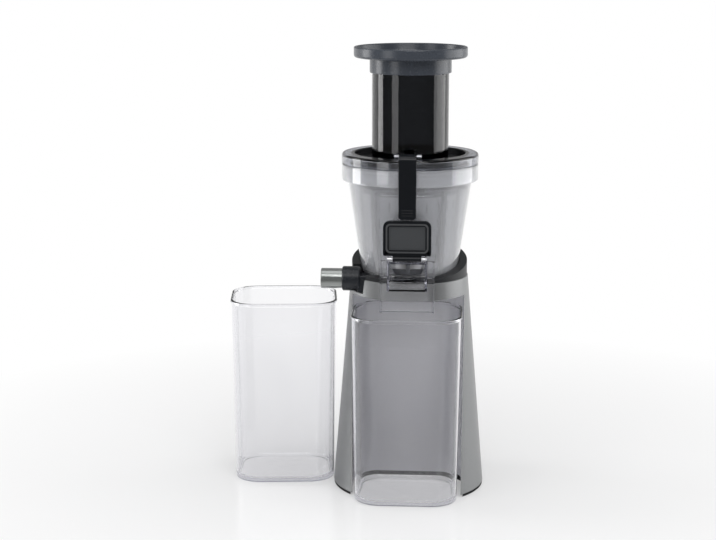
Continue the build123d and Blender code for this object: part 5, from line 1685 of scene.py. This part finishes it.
@dataclass
class DripGuard(Assembly):
    """Clear three-sided guard between the spout and the jug."""

    body: str = "bowl"
    half: float = 25.0
    wall: float = 2.0
    front: float = -66.0
    rear: float = -57.6
    low: float = 181.0
    high: float = 229.0
    ledge: tuple[float, float] = (214.0, 216.0)
    ledge_in: float = 0.5
    ledge_short: float = 0.02
    spout_half: float = 18.55
    spout_low: float = 209.0
    edge: float = 1.2
    inner_edge: float = 0.3

    def build(self) -> None:
        """Hollow a block to a U, round its edges and let the spout through."""
        guard = block("drip_guard_shield", (-self.half, self.front, self.low),
                      (self.half, self.rear, self.high))
        guard.soften(self.edge, 4)
        wall, past = self.wall, 5 * PAST
        guard.cut(block("room", (wall - self.half, self.front - past, self.low - past),
                        (self.half - wall, self.rear - wall, self.high + past)))
        guard.soften(self.inner_edge, 2, 60.0)
        guard.unite(*(self._ledge(side) for side in (-1, 1)))
        guard.cut(block("spout", (-self.spout_half, self.front - past, self.spout_low),
                        (self.spout_half, self.rear + past, self.high + past)))
        self.mount(guard, Palette.CLEAR, "drip_guard")

    def _ledge(self, side: int) -> Bench:
        """Ledge between one wall of the guard and the spout."""
        left, right = sorted((side * self.half, side * self.spout_half))
        return block("ledge", (left, self.front + self.ledge_in, self.ledge[0]),
                     (right - self.ledge_short * side, self.rear - self.ledge_in, self.ledge[1]))


@dataclass
class PulpElbow(Assembly):
    """Dark elbow under the bowl, with the socket of the outlet tube."""

    body: str = "bowl"
    axis: tuple[float, float] = PULP_AXIS
    socket: float = 11.5
    socket_reach: tuple[float, float] = (-62.0, -45.25)
    seat: float = 9.55
    seat_deep: float = 8.0
    bore: float = 7.5
    arm_half: float = 9.0
    arm_end: float = -25.4
    arm_levels: tuple[float, float] = (193.4, 208.95)
    arm_lap: float = 2.0
    edge: float = 1.0
    duct_half: float = 7.0
    wall: float = 2.0

    def build(self) -> None:
        """Melt the flat arm and the round socket together and hollow them."""
        low, high = self.arm_levels
        mid_y, mid_z = self.axis
        start, end = self.socket_reach[1] - self.arm_lap, self.arm_end + self.arm_half
        middle = ((start + end) / 2, mid_y)
        arm = Bench("pulp_elbow").slab((end - start) / 2, self.arm_half, low, centre=middle)
        arm.pick(Element.CORNER, lambda place: place.x > start + 1.0)
        arm.bevel(self.arm_half - NEAR, 12, corners=True)
        arm.pick(Element.FACE, lambda middle: True).raise_faces((0.0, 0.0, high - low))
        arm.soften(self.edge, 3)
        length = self.socket_reach[1] - self.socket_reach[0]
        socket = rod("socket", self.socket, length, sides=96, edge=self.edge)
        arm.unite(socket.turn(0.0, "X", (sum(self.socket_reach) / 2, mid_y, mid_z)))
        duct = block("duct", (self.socket_reach[0] + self.seat_deep, mid_y - self.duct_half, low + self.wall),
                     (self.arm_end, mid_y + self.duct_half, high - self.wall))
        drop = drum("drop", PULP_PORT_R, low + 2 * self.wall, high + PAST, centre=PULP_PORT)
        seat = rod("seat", self.seat, 2 * self.seat_deep, sides=96)
        bore = rod("bore", self.bore, 2 * self.seat_deep, sides=96)
        mouth = self.socket_reach[0]
        arm.cut(duct, drop, seat.turn(0.0, "X", (mouth, mid_y, mid_z)),
                bore.turn(0.0, "X", (mouth + self.seat_deep / 2, mid_y, mid_z)))
        self.mount(arm, Palette.CHUTE, "pulp_chute")


@dataclass
class RockerSwitch:
    """Switch at the rear: bezel with a rounded frame, and the rocker that tilts in it."""

    wall_y: float = 69.1
    face: tuple[float, float, float] = (13.0, 9.5, 1.5)
    face_out: float = 0.9
    face_corner: float = 2.0
    neck: tuple[float, float] = (10.0, 6.5)
    well: tuple[float, float] = (8.8, 5.3)
    deep: float = 9.0
    pin_in: float = 1.0
    pin: float = 1.5
    rocker: tuple[float, float] = (8.4, 4.9)
    back: float = 2.6
    crown: float = 2.6
    end: float = 3.8
    taper: float = 2.2
    end_in: float = 0.7
    edge: float = 0.5
    frame_edge: float = 0.4
    neck_sunk: float = 0.2
    bar_half: float = 0.35
    bar_y: tuple[float, float] = (-3.4, -1.6)
    ring_radii: tuple[float, float] = (0.8, 1.3)
    ring_y: float = 2.5
    mark_levels: tuple[float, float] = (-1.2, -0.05)

    def build(self) -> None:
        """Shape both lying down and stand them up in the rear wall."""
        Assembly("base").mount(self._bezel(), Palette.BLACK, "switch_bezel")
        Assembly("rocker").mount(self._rocker(), Palette.ROCKER, "switch_rocker")

    def _bezel(self) -> Bench:
        """Frame, neck and well, with the rocker's pin across.

        Returns:
            The bezel, in its place.
        """
        half_x, half_y, thick = self.face
        bezel = Bench("switch_frame").slab(half_x, half_y, self.face_out, self.face_corner, 6)
        bezel.pick(Element.FACE, lambda middle: True).raise_faces((0.0, 0.0, thick))
        bezel.soften(self.frame_edge, 3)
        neck_x, neck_y = self.neck
        root = self.face_out + self.neck_sunk
        bezel.unite(block("neck", (-neck_x, -neck_y, -self.deep), (neck_x, neck_y, root)))
        well_x, well_y = self.well
        bezel.cut(block("well", (-well_x, -well_y, thick - self.deep), (well_x, well_y, 20.0)))
        bezel.unite(rod("pin", self.pin, 2 * well_x + 1.0).turn(0.0, "X", (0.0, 0.0, -self.pin_in)))
        return self._stand(bezel)

    def _rocker(self) -> Bench:
        """Rocker with two pads, each with its raised mark.

        Returns:
            The rocker, in its place.
        """
        half_x, half_y = self.rocker
        low, high = -self.pin_in - self.back, -self.pin_in + self.end
        rocker = block("switch_pads", (-half_x, -half_y, low), (half_x, half_y, high))
        rocker.slice((0.0, 0.0, 0.0), (0.0, 1.0, 0.0), take=False)
        rocker.pick(Element.EDGE, lambda middle: middle.z > high - NEAR and abs(middle.y) < NEAR)
        rocker.shift((0.0, 0.0, self.crown - self.end))
        for side in (-1, 1):
            rocker.pick(Element.CORNER, lambda place: place.z < low + NEAR and place.y * side > 1.0)
            rocker.shift((0.0, -side * self.taper, 0.0))
            rocker.pick(Element.CORNER, lambda place: place.z > high - NEAR and place.y * side > 1.0)
            rocker.shift((0.0, -side * self.end_in, 0.0))
        rocker.soften(self.edge, 3)
        root, face = (high + level for level in self.mark_levels)
        bar = block("bar", (-self.bar_half, self.bar_y[0], root), (self.bar_half, self.bar_y[1], face))
        inner, outer = self.ring_radii
        section = [(inner, root), (outer, root), (outer, face), (inner, face)]
        rocker.unite(bar, turned("ring", section, 32, centre=(0.0, self.ring_y)))
        pin = rod("pin", self.pin + 0.05, 3 * half_x)
        return self._stand(rocker.cut(pin.turn(0.0, "X", (0.0, 0.0, -self.pin_in))))

    def _stand(self, piece: Bench) -> Bench:
        """Stand a lying piece up in the rear wall, its face to the rear."""
        piece.turn(-90.0, "X", (0.0, 0.0, 0.0))
        return piece.turn(0.0, "Z", (0.0, self.wall_y, SWITCH_UP))


def dress(node: str, paint: Palette) -> None:
    """Give a CAD node a finish.

    Args:
        node: the node's name.
        paint: the finish.
    """
    piece = frame["nodes"][node]
    piece.data.materials.clear()
    piece.data.materials.append(paint.value.material())
    LOG.info("%s dressed in %s", node, paint.value.name)


DRESSING = {
    Palette.FRAME: ("niche_liner",),
    Palette.BLACK: ("base_plate", "gear_case", "deck_plate", "motor_cap", "reed_switch", "cord_gland"),
    Palette.SCREW: ("base_screws", "deck_screws", "cap_pin", "lock_pin"),
    Palette.BRONZE: ("thrust_washer", "auger_bush"),
    Palette.GROUND: ("output_bearing", "drive_shaft", "pinion", "pinion_shaft"),
    Palette.PLATED: ("gearhead", "motor_can"),
    Palette.BOARD: ("control_board",),
    Palette.BOARD_PARTS: ("board_parts",),
    Palette.NYLON: ("output_gear",),
    Palette.MAGNET: ("bowl_magnet",),
    Palette.SILICONE: ("shaft_seal", "bowl_seal", "lid_seal", "cap_seal"),
    Palette.SMOKE_DARK: ("tube_spider",),
    Palette.SIEVE: ("strainer_mesh",),
    Palette.SIEVE_FRAME: ("strainer_frame",),
    Palette.SCREW_PLASTIC: ("auger",),
}


# ------------------------------------------------------------------ studio
@dataclass
class Viewpoint:
    """Camera on a tripod in front of the juicer, looking slightly down."""

    azimuth: float = 2.0
    reach: float = 1566.8
    height: float = 524.0
    tilt: float = 11.39
    yaw: float = 3.79
    lens: float = 84.4
    sensor: float = 36.0

    def build(self) -> None:
        """Set the camera up and make it the scene's own."""
        camera = bpy.data.objects.new("camera", bpy.data.cameras.new("camera"))
        bpy.context.scene.collection.objects.link(camera)
        turn = math.radians(self.azimuth)
        camera.location = (math.sin(turn) * self.reach * MM, -math.cos(turn) * self.reach * MM,
                           self.height * MM)
        camera.rotation_euler = (math.radians(90 - self.tilt), 0.0, math.radians(self.yaw))
        camera.data.lens = self.lens
        camera.data.sensor_width = self.sensor
        bpy.context.scene.camera = camera


@dataclass
class Softbox:
    """Rectangular lamp that faces the juicer."""

    name: str
    azimuth: float
    distance: float
    height: float
    width: float
    tall: float
    power: float
    aim: float = 220.0

    def build(self) -> None:
        """Hang the lamp and turn it to the juicer."""
        data = bpy.data.lights.new(self.name, "AREA")
        data.shape = "RECTANGLE"
        data.size, data.size_y = self.width * MM, self.tall * MM
        data.energy = self.power
        lamp = bpy.data.objects.new(self.name, data)
        bpy.context.scene.collection.objects.link(lamp)
        turn = math.radians(self.azimuth)
        place = Vector((math.sin(turn), -math.cos(turn), 0.0)) * self.distance
        place.z = self.height
        lamp.location = place * MM
        toward = Vector((0.0, 0.0, self.aim)) - place
        lamp.rotation_euler = toward.to_track_quat("-Z", "Y").to_euler()


@dataclass
class Studio:
    """Pale floor, white surroundings and soft lamps."""

    floor_size: float = 12000.0
    floor_colour: Colour = (0.88, 0.88, 0.885)
    floor_roughness: float = 0.16
    floor_specular: float = 0.35
    mottle: float = 9.0
    mottle_tone: float = 0.01
    fade_from: float = 120.0
    fade_to: float = 620.0
    near_white: float = 0.3
    dim_from: float = 50.0
    dim_to: float = 300.0
    fill: float = 0.5
    room_level: float = 0.12
    room_turn: float = 2.5
    room_dusk: float = 0.75
    dusk_rise: float = 9.0
    lamps: Sequence[Softbox] = field(default_factory=lambda: (
        Softbox("lamp_right", 102.0, 1500.0, 420.0, 1500.0, 1500.0, 13.0),
        Softbox("lamp_left", -98.0, 1500.0, 420.0, 560.0, 1500.0, 10.0),
        Softbox("lamp_front_left", -44.0, 1900.0, 520.0, 700.0, 1300.0, 6.0),
        Softbox("lamp_high", 12.0, 1500.0, 1500.0, 1200.0, 1000.0, 13.0, aim=150.0),
        Softbox("lamp_top", 10.0, 300.0, 1900.0, 1200.0, 1200.0, 6.0),
    ))

    def build(self) -> None:
        """Lay the floor, light the world and hang the lamps."""
        self._floor()
        self._world()
        for lamp in self.lamps:
            lamp.build()
            LOG.info("%s hung", lamp.name)

    def _floor(self) -> None:
        """Pale glossy counter that keeps the shadows and fades into the white surroundings."""
        bpy.ops.object.select_all(action="DESELECT")
        bpy.ops.mesh.primitive_plane_add(size=self.floor_size * MM, location=(0.0, 0.0, 0.0))
        floor = bpy.context.object
        floor.name = "floor"
        material = bpy.data.materials.new("floor_white")
        material.use_nodes = True
        floor.data.materials.append(material)
        tree = Tree(material.node_tree)
        mottle = tree.noise(self.mottle, 2.0)
        colours = (tone(self.floor_colour, share) for share in (-self.mottle_tone, self.mottle_tone))
        counter = tree.node("ShaderNodeBsdfPrincipled", {}, {
            "Base Color": tree.blend(mottle, *colours),
            "Roughness": self.floor_roughness,
            "Specular IOR Level": self.floor_specular,
        })
        depth = Value(tree, tree.node("ShaderNodeSeparateXYZ", {}, {0: tree.place()}).outputs["Y"])
        ahead = self._ramp(depth * -1.0, self.dim_from, self.dim_to)
        strength = 1.0 - self._mirrored(tree) * ahead * (1.0 - self.room_level)
        white = tree.node("ShaderNodeEmission", {}, {"Color": (1.0, 1.0, 1.0, 1.0), "Strength": strength})
        length = tree.node("ShaderNodeVectorMath", {"operation": "LENGTH"}, {0: tree.place()})
        away = Value(tree, length.outputs["Value"])
        fade = self._ramp(away, self.fade_from, self.fade_to)
        share = (fade * (1.0 - self.near_white) + self.near_white) * self._seen(tree)
        mixed = tree.node("ShaderNodeMixShader", {}, {0: share, 1: counter.outputs[0], 2: white.outputs[0]})
        tree.node("ShaderNodeOutputMaterial", {}, {"Surface": mixed.outputs[0]})

    @staticmethod
    def _ramp(way: Value, start: float, end: float) -> Value:
        """Rise from 0 to 1 while a way in metres goes from start to end, which are millimetres."""
        return ((way - start * MM) * (1.0 / ((end - start) * MM))).clamped()

    @staticmethod
    def _seen(tree: Tree) -> Value:
        """1 for what the eye sees straight, in a mirror or through glass, and 0 for all other light.

        Args:
            tree: tree of the floor's material or of the world.

        Returns:
            The mask.
        """
        path = tree.node("ShaderNodeLightPath")
        kinds = ("Is Camera Ray", "Is Glossy Ray", "Is Transmission Ray")
        camera, glossy, through = (Value(tree, path.outputs[kind]) for kind in kinds)
        return (camera + glossy + through).clamped()

    @staticmethod
    def _mirrored(tree: Tree) -> Value:
        """1 for what a glossy surface mirrors, without what is seen through it.

        Args:
            tree: tree of the floor's material or of the world.

        Returns:
            The mask.
        """
        path = tree.node("ShaderNodeLightPath")
        through = Value(tree, path.outputs["Is Transmission Ray"])
        return Value(tree, path.outputs["Is Glossy Ray"]) * (1.0 - through)

    def _world(self) -> None:
        """White surroundings, with a darker room in front of the juicer in its reflections."""
        world = bpy.data.worlds.new("studio")
        world.use_nodes = True
        bpy.context.scene.world = world
        tree = Tree(world.node_tree)
        mirrored = self._mirrored(tree)
        here = tree.node("ShaderNodeTexCoord").outputs["Generated"]
        axes = tree.node("ShaderNodeSeparateXYZ", {}, {0: here})
        depth = Value(tree, axes.outputs["Y"])
        behind = (depth * self.room_turn + 0.5).clamped()
        high = (Value(tree, axes.outputs["Z"]) * self.dusk_rise).clamped()
        room = behind * (1.0 - self.room_level) * (1.0 - high * self.room_dusk) + self.room_level
        plain = (1.0 - self._seen(tree)) * self.fill
        strength = plain + (self._seen(tree) - mirrored).clamped() + mirrored * room
        shader = tree.node("ShaderNodeBackground", {}, {"Color": (1.0, 1.0, 1.0, 1.0), "Strength": strength})
        tree.node("ShaderNodeOutputWorld", {}, {"Surface": shader.outputs[0]})


def assemblies() -> Sequence[Buildable]:
    """Every modelled sub-assembly, from the top down.

    Returns:
        The sub-assemblies, in the order in which they are built.
    """
    return [
        HopperTray(), FeedTube(), LidRing(), LockArm(), SpoutCap(), PulpOutlet(), PulpElbow(), Bowl(),
        JuiceSpout(), DripGuard(), DeckCollar(), BaseShell(), FootRing(), RockerSwitch(), Jug(),
        Jug(body="pulp_jug", node="pulp_jug", place=(-122.6, 23.0), turned_by=5.5),
    ]


def main() -> None:
    """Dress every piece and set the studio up."""
    logging.basicConfig(level=logging.INFO, format="%(name)s: %(message)s")
    bpy.context.scene.view_settings.view_transform = "Standard"
    for paint, nodes in DRESSING.items():
        for node in nodes:
            dress(node, paint)
    for assembly in assemblies():
        assembly.build()
    Studio().build()
    Viewpoint().build()


if __name__ == "__main__":
    main()
